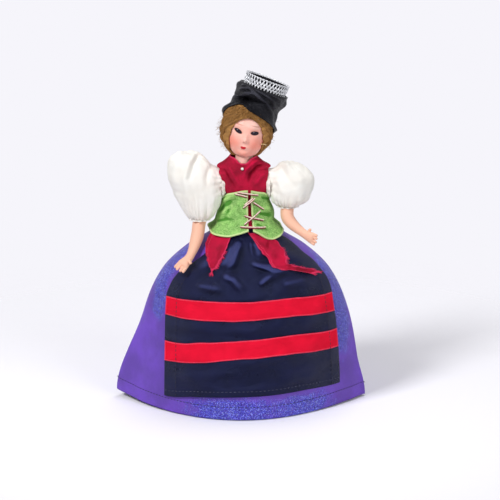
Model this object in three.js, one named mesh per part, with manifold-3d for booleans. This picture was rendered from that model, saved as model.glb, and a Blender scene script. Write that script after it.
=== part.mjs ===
// Celluloid costume doll in a laced folk dress, standing on its skirt hem and its soles.
// Millimetres, +Z up. The doll faces -Y, so its own left side is on +X.

import * as THREE from 'three';
import { mergeVertices } from 'three/addons/utils/BufferGeometryUtils.js';
import Module from 'manifold-3d';

const wasm = await Module();
wasm.setup();

// Driving dimensions

const GAP = 0.3;
const RIGHT = -1;
const LEFT = 1;

const BODY = {
  x: 2.6,
  crotchZ: 65.5,
  hipZ: 70,
  hipsZ: 81,
  waistZ: 93,
  chestZ: 106,
  shoulderZ: 111.5,
  topZ: 119.5,
  crotchHalf: 4.4,
  hipsHalf: 8.8,
  waistHalf: 7.3,
  chestHalf: 8.2,
  neckHalf: 6.4,
  hipsDepth: 7.2,
  waistDepth: 5.8,
  chestDepth: 6.8,
  wall: 1.1,
};

const ARM = {
  seatX: 7.8,
  ballX: 11.8,
  ballRadius: 5,
  upperRadius: 3.7,
  elbowRadius: 3.2,
  wristRadius: 2.1,
  palmHalf: 2.9,
  palmThick: 1.5,
};

const LEG = {
  seatX: 4.8,
  ballX: 8,
  ballRadius: 6,
  footX: 6.6,
  thighRadius: 5.1,
  kneeRadius: 3.5,
  calfRadius: 3.9,
  ankleRadius: 2.5,
  shoeLength: 15,
  shoeHalf: 3.1,
  shoeHeight: 5,
};

const HEAD = {
  x: 1.2,
  z: 118.6,
  tilt: 5,
  half: 9.2,
  depth: 9.8,
  rise: 13.4,
  centreZ: 19.2,
  wall: 1,
  neckRadius: 4.6,
  neckDrop: 3.2,
  noseHeight: 1.3,
};

const WIG = { half: 12.3, depth: 12.6, rise: 15.4, centreY: 1.3, centreZ: 19.4, faceHalf: 8.9, faceRise: 12.2 };

const CAP = {
  wall: 0.7,
  topRadius: 12.4,
  topX: 7,
  topY: 5.5,
  topZ: 39.2,
  lean: 16,
  backLean: 9,
  rimFrontZ: 31.4,
  rimSideZ: 17.5,
  rimBackZ: 10,
  rimRise: 6,
  fold: 0.35,
  formerTop: -1.3,
  formerDepth: 2.6,
};

const NET = { wall: 0.5, rows: 3, cells: 24, cellHeight: 3.1, wire: 0.42, flare: 0.7 };

const SCARF = {
  lowZ: 100,
  shoulderZ: 117.5,
  shoulderHalf: 11.6,
  collarZ: 120.8,
  collarHalf: 5,
  notch: 2.6,
  underSag: 0.7,
  edgeSag: 0.25,
};

const CLOTH = { blouse: 0.6, scarf: 0.6, felt: 1, skirt: 0.9, petticoat: 0.6, apron: 0.7, ribbon: 0.5, band: 0.7 };

const SKIRT = {
  topZ: 91,
  hemHalf: 62,
  hemFront: 40,
  hemBack: 39.6,
  cornerRise: 2.2,
  seamSharpness: 2.1,
  fold: 0.9,
  folds: 5,
};

const PETTICOAT = { hemZ: 3, inset: 2.9, topInset: 2.3 };

const APRON = { topZ: 88.4, hemZ: 10, hemRise: 3, fold: 1.5, ribbon: 9.2, upperZ: 53.8, lowerZ: 35.4 };

const WAISTBAND = { height: 2.8 };

const BODICE = { frontTopZ: 109.2, sideTopZ: 103.6, backTopZ: 106, gapX: 4.7, gapHalf: 1, wave: 0.9 };

const CORD = { elastic: 0.9, hook: 0.45, lacing: 0.4 };

const PIN = { radius: 0.25, headRadius: 0.75, length: 4.5 };

const LOOK = {
  celluloid: { color: 0xf2b79c, roughness: 0.42, metalness: 0 },
  mohair: { color: 0xa5783f, roughness: 0.85, metalness: 0 },
  blackSatin: { color: 0x16161c, roughness: 0.5, metalness: 0 },
  card: { color: 0x242226, roughness: 0.9, metalness: 0 },
  silver: { color: 0xcfd2d6, roughness: 0.3, metalness: 0.9 },
  steel: { color: 0xb9bcc0, roughness: 0.35, metalness: 0.9 },
  elastic: { color: 0xece6d8, roughness: 0.9, metalness: 0 },
  muslin: { color: 0xfbf6ee, roughness: 0.85, metalness: 0 },
  redCotton: { color: 0xc80a3c, roughness: 0.8, metalness: 0 },
  greenFelt: { color: 0x8cc86e, roughness: 0.95, metalness: 0 },
  lacing: { color: 0xe6dcc8, roughness: 0.8, metalness: 0 },
  violetSatin: { color: 0x5a37a5, roughness: 0.45, metalness: 0 },
  navySatin: { color: 0x191932, roughness: 0.4, metalness: 0 },
  redRibbon: { color: 0xeb1e41, roughness: 0.7, metalness: 0 },
  pearl: { color: 0xf4f0ea, roughness: 0.25, metalness: 0 },
};

// Small mathematics

const rad = THREE.MathUtils.degToRad;
const mix = THREE.MathUtils.lerp;
const ease = (x, low, high) => THREE.MathUtils.smoothstep(x, low, high);
const bump = (x, middle, width) => Math.exp(-(((x - middle) / width) ** 2));
const at = (x, y, z) => new THREE.Vector3(x, y, z);

// Smooth curve through [place, value] pairs, with no overshoot between them.
function through(pairs) {
  const slope = pairs.map((pair, i) => {
    if (i === 0 || i === pairs.length - 1) return 0;
    const before = (pair[1] - pairs[i - 1][1]) / (pair[0] - pairs[i - 1][0]);
    const after = (pairs[i + 1][1] - pair[1]) / (pairs[i + 1][0] - pair[0]);
    return before * after <= 0 ? 0 : (2 * before * after) / (before + after);
  });
  return (place) => {
    if (place <= pairs[0][0]) return pairs[0][1];
    const i = pairs.findIndex((pair) => pair[0] >= place);
    if (i < 0) return pairs[pairs.length - 1][1];
    const span = pairs[i][0] - pairs[i - 1][0];
    const t = (place - pairs[i - 1][0]) / span;
    const rise = pairs[i - 1][1] * (1 + 2 * t) * (1 - t) ** 2 + pairs[i][1] * t * t * (3 - 2 * t);
    return rise + span * (slope[i - 1] * t * (1 - t) ** 2 + slope[i] * t * t * (t - 1));
  };
}

// Evenly spaced numbers from low to high, both ends included.
function steps(low, high, count) {
  return Array.from({ length: count + 1 }, (unused, i) => mix(low, high, i / count));
}

// Closed meshes

// Geometry of one closed body from points and triangles, turned so that its faces point out.
function body(points, triangles) {
  const volume = triangles.reduce((sum, [a, b, c]) => {
    return sum + points[a].dot(at(0, 0, 0).crossVectors(points[b], points[c]));
  }, 0);
  const outward = volume < 0 ? triangles.map(([a, b, c]) => [a, c, b]) : triangles;
  const geometry = new THREE.BufferGeometry();
  geometry.setAttribute('position', new THREE.Float32BufferAttribute(points.flatMap((p) => p.toArray()), 3));
  geometry.setIndex(outward.flat());
  return mergeVertices(geometry, 1e-4);
}

// Two triangles between two edges.
const quad = (a, b, c, d) => [[a, b, c], [a, c, d]];

// Solid through closed rings of equal counts, its two ends closed by fans.
function loft(rings) {
  const count = rings[0].length;
  const points = rings.flat();
  const triangles = [];
  for (let row = 0; row + 1 < rings.length; row++) {
    for (let i = 0; i < count; i++) {
      const next = (i + 1) % count;
      const here = row * count;
      triangles.push(...quad(here + i, here + next, here + count + next, here + count + i));
    }
  }
  for (const [row, flip] of [[0, true], [rings.length - 1, false]]) {
    const middle = rings[row].reduce((sum, p) => sum.add(p), at(0, 0, 0)).divideScalar(count);
    points.push(middle);
    for (let i = 0; i < count; i++) {
      const [a, b] = [row * count + i, row * count + ((i + 1) % count)];
      triangles.push(flip ? [points.length - 1, b, a] : [points.length - 1, a, b]);
    }
  }
  return body(points, triangles);
}

// Tube with a wall, open at both ends, from outer rings and inner rings.
function sleeve(outer, inner) {
  const count = outer[0].length;
  const rings = [...outer, ...[...inner].reverse()];
  const triangles = [];
  for (let row = 0; row < rings.length; row++) {
    const [here, there] = [row * count, ((row + 1) % rings.length) * count];
    for (let i = 0; i < count; i++) {
      const next = (i + 1) % count;
      triangles.push(...quad(here + i, here + next, there + next, there + i));
    }
  }
  return body(rings.flat(), triangles);
}

// Sheet with a thickness, from a grid of front points and the same grid of back points.
function sheet(front, back) {
  const [rows, columns] = [front.length, front[0].length];
  const points = [...front.flat(), ...back.flat()];
  const place = (row, column, side) => side * rows * columns + row * columns + column;
  const triangles = [];
  for (let row = 0; row + 1 < rows; row++) {
    for (let column = 0; column + 1 < columns; column++) {
      const corners = [[row, column], [row, column + 1], [row + 1, column + 1], [row + 1, column]];
      triangles.push(...quad(...corners.map(([r, c]) => place(r, c, 0))));
      triangles.push(...quad(...corners.map(([r, c]) => place(r, c, 1)).reverse()));
    }
  }
  const rim = [];
  for (let column = 0; column + 1 < columns; column++) rim.push([0, column]);
  for (let row = 0; row + 1 < rows; row++) rim.push([row, columns - 1]);
  for (let column = columns - 1; column > 0; column--) rim.push([rows - 1, column]);
  for (let row = rows - 1; row > 0; row--) rim.push([row, 0]);
  rim.forEach(([row, column], i) => {
    const [nextRow, nextColumn] = rim[(i + 1) % rim.length];
    const edge = [place(nextRow, nextColumn, 0), place(row, column, 0)];
    triangles.push(...quad(...edge, place(row, column, 1), place(nextRow, nextColumn, 1)));
  });
  return body(points, triangles);
}

// Booleans

function toSolid(geometry) {
  const bare = geometry.clone();
  bare.deleteAttribute('normal');
  bare.deleteAttribute('uv');
  const merged = mergeVertices(bare, 1e-4);
  const vertProperties = new Float32Array(merged.attributes.position.array);
  const triVerts = new Uint32Array(merged.index.array);
  return new wasm.Manifold(new wasm.Mesh({ numProp: 3, vertProperties, triVerts }));
}

function fromSolid(solid) {
  const mesh = solid.getMesh();
  const geometry = new THREE.BufferGeometry();
  geometry.setAttribute('position', new THREE.BufferAttribute(mesh.vertProperties, 3));
  geometry.setIndex(new THREE.BufferAttribute(mesh.triVerts, 1));
  return geometry;
}

// One body from a first shape, the shapes added to it and the shapes cut from it.
function combine(first, added, removed) {
  let solid = toSolid(first);
  for (const shape of added) solid = solid.add(toSolid(shape));
  for (const shape of removed) solid = solid.subtract(toSolid(shape));
  return fromSolid(solid);
}

// Common cutters and rods

// Cylinder along X between two places.
function rodX(radius, fromX, toX, y, z, sides) {
  const rod = new THREE.CylinderGeometry(radius, radius, Math.abs(toX - fromX), sides);
  return rod.rotateZ(Math.PI / 2).translate((fromX + toX) / 2, y, z);
}

// Cylinder along Z between two heights.
function rodZ(radius, fromZ, toZ, x, y, sides) {
  const rod = new THREE.CylinderGeometry(radius, radius, toZ - fromZ, sides);
  return rod.rotateX(Math.PI / 2).translate(x, y, (fromZ + toZ) / 2);
}

// Box between two corners.
function block(low, high) {
  const size = high.clone().sub(low);
  const middle = low.clone().add(high).multiplyScalar(0.5);
  return new THREE.BoxGeometry(size.x, size.y, size.z).translate(middle.x, middle.y, middle.z);
}

// Ball with its own three half sizes.
function ovoid(centre, half, columns, rows) {
  const ball = new THREE.SphereGeometry(1, columns, rows);
  return ball.rotateX(Math.PI / 2).scale(half.x, half.y, half.z).translate(centre.x, centre.y, centre.z);
}

// Round cord along a list of points.
function cord(points, radius, sides, count, closed = false) {
  const path = new THREE.CatmullRomCurve3(points, closed, 'centripetal');
  const outline = new THREE.Shape();
  for (let i = 0; i < sides; i++) {
    const angle = (2 * Math.PI * i) / sides;
    const [x, y] = [radius * Math.cos(angle), radius * Math.sin(angle)];
    if (i === 0) outline.moveTo(x, y);
    else outline.lineTo(x, y);
  }
  const extruded = new THREE.ExtrudeGeometry(outline, { steps: count, extrudePath: path, curveSegments: 1 });
  extruded.deleteAttribute('uv');
  extruded.deleteAttribute('normal');
  return mergeVertices(extruded, 1e-4);
}

// Rings round the body, which the torso and each layer of clothes share

const bodyHalf = through([
  [BODY.crotchZ, BODY.crotchHalf - 1.2],
  [BODY.hipZ, BODY.crotchHalf + 3],
  [BODY.hipsZ, BODY.hipsHalf],
  [BODY.waistZ, BODY.waistHalf],
  [BODY.chestZ, BODY.chestHalf],
  [BODY.shoulderZ + 3, BODY.chestHalf + 0.2],
  [BODY.topZ, BODY.neckHalf],
]);

const bodyDepth = through([
  [BODY.crotchZ, BODY.hipsDepth - 3],
  [BODY.hipsZ, BODY.hipsDepth],
  [BODY.waistZ, BODY.waistDepth],
  [BODY.chestZ, BODY.chestDepth],
  [BODY.shoulderZ + 2, BODY.chestDepth - 0.8],
  [BODY.topZ, BODY.neckHalf - 0.4],
]);

// The shoulders lean with the head, so the rings drift sideways towards the neck.
const bodyCentre = (z) => mix(BODY.x, HEAD.x, ease(z, BODY.shoulderZ, BODY.topZ));

// Ring at a height, standing off the bare body by an offset that also lifts it over the shoulders.
function bodyRing(z, offset, count, halfOf = bodyHalf, depthOf = bodyDepth) {
  const lift = offset * ease(z, BODY.chestZ, BODY.topZ);
  return Array.from({ length: count }, (unused, i) => {
    const angle = (2 * Math.PI * i) / count;
    const x = (halfOf(z) + offset) * Math.sin(angle);
    const y = -(depthOf(z) + offset) * Math.cos(angle);
    return at(bodyCentre(z) + x, y, z + lift);
  });
}

const armCutter = (side, radius, fromX) =>
  rodX(radius, BODY.x + side * fromX, BODY.x + side * (BODY.hipsHalf + 12), 0, BODY.shoulderZ, 16);

const legCutter = (side, radius, fromX) =>
  rodX(radius, BODY.x + side * fromX, BODY.x + side * (BODY.hipsHalf + 8), 0, BODY.hipZ, 16);

// Torso, a hollow shell with seats for head, arms and legs

function torsoShell() {
  const outside = loft(steps(BODY.crotchZ, BODY.topZ, 10).map((z) => bodyRing(z, 0, 16)));
  const cavityHalf = through([
    [BODY.crotchZ + 1, BODY.crotchHalf - BODY.wall - 0.3],
    [BODY.hipZ + LEG.ballRadius + 1, BODY.crotchHalf - BODY.wall],
    [BODY.hipsZ + 1, BODY.hipsHalf - BODY.wall - 0.5],
    [BODY.waistZ, BODY.waistHalf - BODY.wall],
    [BODY.shoulderZ, ARM.seatX - BODY.wall - 0.3],
    [BODY.topZ - BODY.wall, BODY.neckHalf - BODY.wall - 0.6],
  ]);
  const cavityDepth = (z) => bodyDepth(z) - BODY.wall;
  const heights = steps(BODY.crotchZ + BODY.wall, BODY.topZ - BODY.wall, 6);
  const cavity = loft(heights.map((z) => bodyRing(z, 0, 12, cavityHalf, cavityDepth)));
  const neckCup = ovoid(
    at(HEAD.x, 0, HEAD.z),
    at(HEAD.neckRadius + GAP, HEAD.neckRadius + GAP, HEAD.neckDrop + GAP),
    14,
    8,
  );
  const neckHole = rodZ(HEAD.neckRadius - 1.2, HEAD.z - 8, HEAD.z + 3, HEAD.x, 0, 10);
  const neckMouth = rodZ(HEAD.neckRadius + GAP, HEAD.z, BODY.topZ + 1, HEAD.x, 0, 14);
  const cuts = [cavity, neckCup, neckHole, neckMouth];
  for (const side of [RIGHT, LEFT]) {
    cuts.push(armCutter(side, ARM.ballRadius + 2 * GAP, ARM.seatX));
    cuts.push(legCutter(side, LEG.ballRadius + GAP, LEG.seatX - GAP));
    cuts.push(rodX(1.6, BODY.x, BODY.x + side * (ARM.seatX + 1), 0, BODY.shoulderZ, 8));
    cuts.push(rodX(1.6, BODY.x, BODY.x + side * (LEG.seatX + 1), 0, BODY.hipZ, 8));
  }
  return combine(outside, [], cuts);
}

// Limbs

// Solid along a path of stations, each a place with a half width across and a half thickness.
// The width runs square to the path and to the given flat direction.
function limb(stations, flat, rows, columns) {
  const path = new THREE.CatmullRomCurve3(stations.map((s) => s.place), false, 'centripetal');
  const places = stations.map((unused, i) => i / (stations.length - 1));
  const across = through(stations.map((s, i) => [places[i], s.across]));
  const thick = through(stations.map((s, i) => [places[i], s.thick]));
  const rings = steps(0, 1, rows).map((t) => {
    const middle = path.getPoint(t);
    const along = path.getTangent(t);
    const side = at(0, 0, 0).crossVectors(along, flat).normalize();
    const up = at(0, 0, 0).crossVectors(side, along).normalize();
    return Array.from({ length: columns }, (unused, i) => {
      const angle = (2 * Math.PI * i) / columns;
      const [a, b] = [across(t) * Math.cos(angle), thick(t) * Math.sin(angle)];
      return middle.clone().addScaledVector(side, a).addScaledVector(up, b);
    });
  });
  return loft(rings);
}

// Finger or thumb, a short tapering rod with a round end.
function finger(base, tip, radius) {
  const middle = base.clone().lerp(tip, 0.6);
  const direction = tip.clone().sub(base).normalize();
  const flat = Math.abs(direction.z) > 0.9 ? at(0, 1, 0) : at(0, 0, 1);
  const end = tip.clone().addScaledVector(direction, radius * 0.5);
  const station = (place, size) => ({ place, across: radius * size, thick: radius * size });
  return limb([station(base, 1), station(middle, 0.95), station(tip, 0.8), station(end, 0.35)], flat, 3, 5);
}

const ARM_ROUTE = {
  [RIGHT]: {
    cuff: at(-20, -4.4, 93.5),
    elbow: at(-21.4, -9.2, 85.5),
    wrist: at(-24, -17.6, 77),
    knuckles: at(-27.4, -20.9, 73),
    flat: at(0.1, -0.75, 0.62),
    fingerLength: 4,
    thumbTip: at(-23.6, -23.5, 73),
  },
  [LEFT]: {
    cuff: at(22.6, -3.2, 100.4),
    elbow: at(23.2, -7, 94.4),
    wrist: at(31.2, -15.6, 88.8),
    knuckles: at(35.2, -18.2, 87.2),
    flat: at(-0.5, -0.8, 0.1),
    fingerLength: 3.4,
    thumbTip: at(34.2, -17, 91.4),
  },
};

// Direction in which the fingers point.
function reach(route) {
  return route.knuckles.clone().sub(route.wrist).normalize();
}

// Arm with a round shoulder and a moulded hand, before its seat is cut, fatter by an allowance.
function armShape(side, allowance) {
  const route = ARM_ROUTE[side];
  const shoulder = at(BODY.x + side * ARM.ballX, 0, BODY.shoulderZ);
  const upper = shoulder.clone().lerp(route.cuff, 0.5);
  const round = (place, radius) => ({ place, across: radius + allowance, thick: radius + allowance });
  const palmEnd = route.knuckles.clone().addScaledVector(reach(route), 0.8);
  const shape = limb(
    [
      round(shoulder, ARM.upperRadius),
      round(upper, ARM.upperRadius + 0.1),
      round(route.cuff, ARM.upperRadius - 0.4),
      round(route.elbow, ARM.elbowRadius),
      { place: route.wrist, across: ARM.wristRadius, thick: ARM.wristRadius - 0.2 },
      { place: route.knuckles, across: ARM.palmHalf, thick: ARM.palmThick },
      { place: palmEnd, across: ARM.palmHalf - 0.5, thick: ARM.palmThick - 0.5 },
    ],
    route.flat,
    11,
    10,
  );
  const across = at(0, 0, 0).crossVectors(reach(route), route.flat).normalize();
  const ball = ARM.ballRadius + allowance;
  const additions = [ovoid(shoulder, at(ball, ball, ball), 12, 8)];
  for (const place of [-1.5, -0.5, 0.5, 1.5]) {
    const base = route.knuckles.clone().addScaledVector(across, place * 1.35).addScaledVector(reach(route), -0.6);
    const length = route.fingerLength - Math.abs(place - 0.3) * 0.5;
    additions.push(finger(base, base.clone().addScaledVector(reach(route), length), 0.85));
  }
  const thumbBase = route.wrist.clone().lerp(route.knuckles, 0.4);
  additions.push(finger(thumbBase, route.thumbTip, 0.95));
  return combine(shape, additions, []);
}

// Space on the body side of a limb's flat seat.
function seatSpace(side, seatX, z) {
  const far = BODY.x + side * seatX;
  return block(at(Math.min(BODY.x, far), -20, z - 20), at(Math.max(BODY.x, far), 20, z + 20));
}

// Arm with the flat seat that bears on the torso and the hole for its hook.
function arm(side) {
  const hookHole = rodX(CORD.hook + GAP, BODY.x, BODY.x + side * (ARM.ballX + GAP), 0, BODY.shoulderZ, 8);
  return combine(armShape(side, 0), [], [seatSpace(side, ARM.seatX + GAP, BODY.shoulderZ), hookHole]);
}

// Leg with a flat seat on the body side, a round hip and a moulded sock and shoe with a flat sole.
function leg(side) {
  const hip = at(BODY.x + side * LEG.ballX, 0, BODY.hipZ);
  const x = (z) => BODY.x + side * mix(LEG.footX, LEG.ballX, z / BODY.hipZ);
  const round = (y, z, radius) => ({ place: at(x(z), y, z), across: radius, thick: radius });
  const shape = limb(
    [
      round(0, BODY.hipZ, LEG.thighRadius),
      round(0, 56, LEG.thighRadius),
      round(-0.4, 38, LEG.kneeRadius),
      round(0.8, 25, LEG.calfRadius),
      round(0.8, 10, LEG.ankleRadius),
      round(0.8, 4, LEG.ankleRadius + 0.3),
    ],
    at(0, 1, 0),
    9,
    12,
  );
  const toeY = -LEG.shoeLength * 0.68;
  const shoeStation = (share, half, height) => ({
    place: at(x(0), mix(LEG.shoeLength * 0.32, toeY, share), height * 0.8),
    across: LEG.shoeHalf * half,
    thick: height,
  });
  const shoe = limb(
    [
      shoeStation(0, 0.55, LEG.shoeHeight * 0.42),
      shoeStation(0.15, 0.86, LEG.shoeHeight * 0.56),
      shoeStation(0.5, 0.9, LEG.shoeHeight * 0.5),
      shoeStation(0.82, 1, LEG.shoeHeight * 0.42),
      shoeStation(1, 0.6, LEG.shoeHeight * 0.3),
    ],
    at(0, 0, 1),
    6,
    12,
  );
  const seat = seatSpace(side, LEG.seatX, BODY.hipZ);
  const hookHole = rodX(CORD.hook + GAP, BODY.x, BODY.x + side * (LEG.ballX + GAP), 0, BODY.hipZ, 8);
  const ground = block(at(x(0) - 10, -20, -5), at(x(0) + 10, 20, 0));
  const ball = ovoid(hip, at(LEG.ballRadius, LEG.ballRadius, LEG.ballRadius), 12, 6);
  return combine(shape, [ball, shoe], [seat, hookHole, ground]);
}

// Wire hook whose shank sits in a limb and whose bend faces the elastic.
function limbHook(side, seatX, shankX, z) {
  const out = (x, dz) => at(BODY.x + side * x, 0, z + dz);
  const bend = seatX - 3.4;
  const points = [out(shankX, 0), out(seatX, 0), out(bend + 1.6, 0.2), out(bend + 0.6, 0.7), out(bend, 0)];
  return cord([...points, out(bend + 0.5, -0.8), out(bend + 1.3, -0.9)], CORD.hook, 5, 12);
}

// Elastic between the two hooks of a pair of limbs.
function pairElastic(seatX, z) {
  const reachX = seatX - 3.4 - CORD.hook - GAP;
  return rodX(CORD.elastic, BODY.x - reachX, BODY.x + reachX, 0, z, 12);
}

// Long elastic loop from the neck hook down round the leg elastic.
function neckElastic(topZ) {
  const half = 2 * CORD.elastic + GAP + 0.35;
  const [high, low] = [topZ - half, BODY.hipZ];
  const points = [];
  for (const angle of steps(0, Math.PI, 6)) {
    points.push(at(BODY.x, half * Math.cos(angle), high + half * Math.sin(angle)));
  }
  for (const angle of steps(Math.PI, 2 * Math.PI, 6)) {
    points.push(at(BODY.x, half * Math.cos(angle), low + half * Math.sin(angle)));
  }
  return cord(points, CORD.elastic * 0.7, 5, 24, true);
}

// Head, in its own frame: origin at the neck pivot, +Z up the head

// Face relief as a step outwards from the egg shape.
function faceRelief(x, z) {
  const nose = HEAD.noseHeight * bump(x, 0, 1.3) * (bump(z, 16.6, 1.4) + 0.45 * bump(z, 18.9, 1.9));
  const eyes = -0.55 * (bump(x, 4.1, 2) + bump(x, -4.1, 2)) * bump(z, 20.4, 1.7);
  const brow = 0.3 * (bump(x, 4, 2.6) + bump(x, -4, 2.6)) * bump(z, 23.2, 1.5);
  const cheeks = 0.55 * (bump(x, 5, 2.6) + bump(x, -5, 2.6)) * bump(z, 14.6, 3.2);
  const lips = 0.4 * bump(x, 0, 1.6) * (bump(z, 12.6, 0.9) - 0.5 * bump(z, 11.2, 0.9));
  const chin = 0.7 * bump(x, 0, 2.6) * bump(z, 8.6, 1.9);
  return nose + eyes + brow + cheeks + lips + chin;
}

// Ring of the head at a turn from chin to crown, its points closest at the face, fatter by an allowance.
function headRing(turn, allowance) {
  const columns = 24;
  const z = HEAD.centreZ - (HEAD.rise + allowance) * Math.cos(turn);
  const spread = Math.sin(turn) ** (turn < Math.PI / 2 ? 0.7 : 0.9);
  return Array.from({ length: columns }, (unused, i) => {
    const share = i / columns;
    const angle = 2 * Math.PI * share - 0.62 * Math.sin(2 * Math.PI * share);
    const front = Math.max(0, Math.cos(angle));
    const x = (HEAD.half * spread + allowance) * Math.sin(angle);
    const depth = (HEAD.depth * spread + allowance) * Math.cos(angle);
    const relief = faceRelief(x, z) * ease(front * Math.sin(turn), 0.1, 0.5);
    return at(x, -depth - relief, z);
  });
}

const headShape = (allowance) => loft(steps(0.2, Math.PI - 0.25, 15).map((turn) => headRing(turn, allowance)));

function headShell() {
  const neckOutline = [
    [0, -HEAD.neckDrop],
    [HEAD.neckRadius * 0.62, -HEAD.neckDrop * 0.78],
    [HEAD.neckRadius * 0.95, -HEAD.neckDrop * 0.25],
    [HEAD.neckRadius, 1],
    [HEAD.neckRadius - 0.3, 5],
    [HEAD.neckRadius + 0.6, HEAD.centreZ - HEAD.rise + 4],
    [0, HEAD.centreZ - HEAD.rise + 4],
  ];
  const neck = new THREE.LatheGeometry(neckOutline.map(([r, z]) => new THREE.Vector2(r, z)), 14);
  neck.rotateX(Math.PI / 2);
  const inside = 1 - HEAD.wall / HEAD.half;
  const hollow = ovoid(
    at(0, 0.3, HEAD.centreZ),
    at(HEAD.half * 0.9 * inside, HEAD.depth * inside, HEAD.rise * inside),
    10,
    6,
  );
  const neckBore = rodZ(HEAD.neckRadius - 1.6, -HEAD.neckDrop - 1, HEAD.centreZ, 0, 0, 10);
  return combine(headShape(0), [neck], [hollow, neckBore]);
}

// Wire hook across the neck of the head, bent down to the neck elastic.
function neckHook() {
  const [half, low] = [HEAD.neckRadius - 1.6 - CORD.hook - GAP, -HEAD.neckDrop - 1.2];
  const points = [at(half, 0, 3), at(half * 0.4, 0, 4), at(-half * 0.7, 0, 3.4), at(-half * 0.7, 0, 1)];
  return cord([...points, at(-0.2, 0, low + 2), at(0, 0, low)], CORD.hook, 5, 12);
}

// Wig: hair over the skull, cut out for the face, the head and the neck.

const wigRing = (z) => Math.sqrt(Math.max(0, 1 - ((z - WIG.centreZ) / WIG.rise) ** 2));

function wig() {
  const lock = (angle, z) => 1 + 0.025 * Math.sin(9 * angle + z * 0.35) + 0.02 * Math.sin(5 * angle - z * 0.6);
  const rings = steps(0.3, Math.PI - 0.44, 10).map((turn) => {
    const z = WIG.centreZ - WIG.rise * Math.cos(turn);
    return Array.from({ length: 24 }, (unused, i) => {
      const angle = (2 * Math.PI * i) / 24;
      const r = Math.sin(turn) * (z > CAP.rimFrontZ ? 0.94 : lock(angle, z) * 0.96);
      return at(WIG.half * r * Math.sin(angle), WIG.centreY - WIG.depth * r * Math.cos(angle), z);
    });
  });
  const face = rodZ(1, -14, 0, 0, 0, 24).scale(WIG.faceHalf, WIG.faceRise, 1);
  face.rotateX(Math.PI / 2).translate(0, -14, HEAD.centreZ - 3.8);
  const neck = rodZ(HEAD.neckRadius + 1.4, 0, HEAD.centreZ, 0, 0, 14);
  return combine(loft(rings), [], [headShape(GAP), face, neck]);
}

// Cap: satin from a slanting rim round the back of the head up to a tall round top.

const capTilt = new THREE.Matrix4()
  .makeTranslation(CAP.topX, CAP.topY, CAP.topZ)
  .multiply(new THREE.Matrix4().makeRotationY(rad(CAP.lean)))
  .multiply(new THREE.Matrix4().makeRotationX(-rad(CAP.backLean)));

function capRimZ(angle) {
  const front = (1 + Math.cos(angle)) / 2;
  const side = Math.sin(angle);
  const slope = mix(CAP.rimBackZ, CAP.rimFrontZ, front ** 0.8);
  return slope - Math.max(0, side) * (mix(CAP.rimBackZ, CAP.rimFrontZ, 0.5) - CAP.rimSideZ)
    + Math.max(0, -side) * CAP.rimRise;
}

function capRing(share, inset, columns) {
  return Array.from({ length: columns }, (unused, i) => {
    const angle = (2 * Math.PI * i) / columns;
    const top = at((CAP.topRadius - inset) * Math.sin(angle), -(CAP.topRadius - inset) * Math.cos(angle), 0);
    top.applyMatrix4(capTilt);
    const z = mix(capRimZ(angle), top.z, share);
    const hug = wigRing(z);
    const stand = CAP.wall + 2 * GAP + CAP.fold - inset;
    const low = at(
      (WIG.half * hug + stand) * Math.sin(angle),
      WIG.centreY - (WIG.depth * hug + stand) * Math.cos(angle),
      z,
    );
    const high = top.clone().setZ(z);
    high.x -= CAP.topX * (1 - share);
    high.y -= CAP.topY * (1 - share);
    const blend = ease(share, 0.15, 0.75) * ease(z, WIG.centreZ, WIG.centreZ + 10);
    const point = low.lerp(high, blend);
    const pleat = inset > 0 ? 0 : CAP.fold * Math.sin(3 * angle + 7 * share) * ease(share, 0.1, 0.4);
    const outward = at(Math.sin(angle), -Math.cos(angle), 0);
    return point.addScaledVector(outward, pleat + CAP.fold * (inset > 0 ? -1 : 1));
  });
}

function cap() {
  const shares = steps(0, 1, 8);
  const outer = shares.map((share) => capRing(share, 0, 24));
  const inner = shares.map((share) => capRing(share, CAP.wall, 24));
  return sleeve(outer, inner);
}

const formerRadius = CAP.topRadius - CAP.wall - CAP.fold - 2 * GAP;

// Card former: a lid shape that stands inside the top of the cap.
function capFormer() {
  const [r, top, deep, thick] = [formerRadius, CAP.formerTop, CAP.formerTop - CAP.formerDepth, 0.8];
  const outline = [[0, top - thick], [r - thick, top - thick], [r - thick, deep], [r, deep], [r, top], [0, top]];
  const lathe = new THREE.LatheGeometry(outline.map(([x, z]) => new THREE.Vector2(x, z)), 24);
  return lathe.rotateX(Math.PI / 2).applyMatrix4(capTilt);
}

// Net crown: a ring of leaf-shaped openings, each row set between the openings of the row below.
function netCrown() {
  const pitch = (2 * Math.PI) / NET.cells;
  const [halfWidth, halfHeight] = [pitch / 2, NET.cellHeight / 2];
  const height = halfHeight * (NET.rows + 1);
  const fromSide = 1 / Math.hypot(1 / (halfWidth * formerRadius), 1 / halfHeight);
  const open = 1 - NET.wire / 2 / fromSide;
  const points = [];
  const triangles = [];
  const corner = (turn, v, inset) => {
    const radius = formerRadius + (NET.flare * v) / height - inset;
    const place = at(radius * Math.sin(turn), -radius * Math.cos(turn), CAP.formerTop + GAP + v);
    return points.push(place.applyMatrix4(capTilt)) - 1;
  };
  for (let row = 0; row < NET.rows; row++) {
    for (let i = 0; i < NET.cells; i++) {
      const [turn, v] = [(i + (row % 2) / 2) * pitch, halfHeight * (row + 1)];
      const outline = (size, inset) => [[0, -1], [1, 0], [0, 1], [-1, 0]]
        .map(([a, b]) => corner(turn + a * halfWidth * size, v + b * halfHeight * size, inset));
      const rings = [outline(1, 0), outline(open, 0), outline(open, NET.wall), outline(1, NET.wall)];
      for (let k = 0; k < 4; k++) {
        const next = (k + 1) % 4;
        const border = (row === 0 && (k === 0 || k === 3)) || (row === NET.rows - 1 && (k === 1 || k === 2));
        for (let layer = 0; layer < (border ? 4 : 3); layer++) {
          const [here, there] = [rings[layer], rings[(layer + 1) % 4]];
          triangles.push(...quad(here[k], here[next], there[next], there[k]));
        }
      }
    }
  }
  return body(points, triangles);
}

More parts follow.
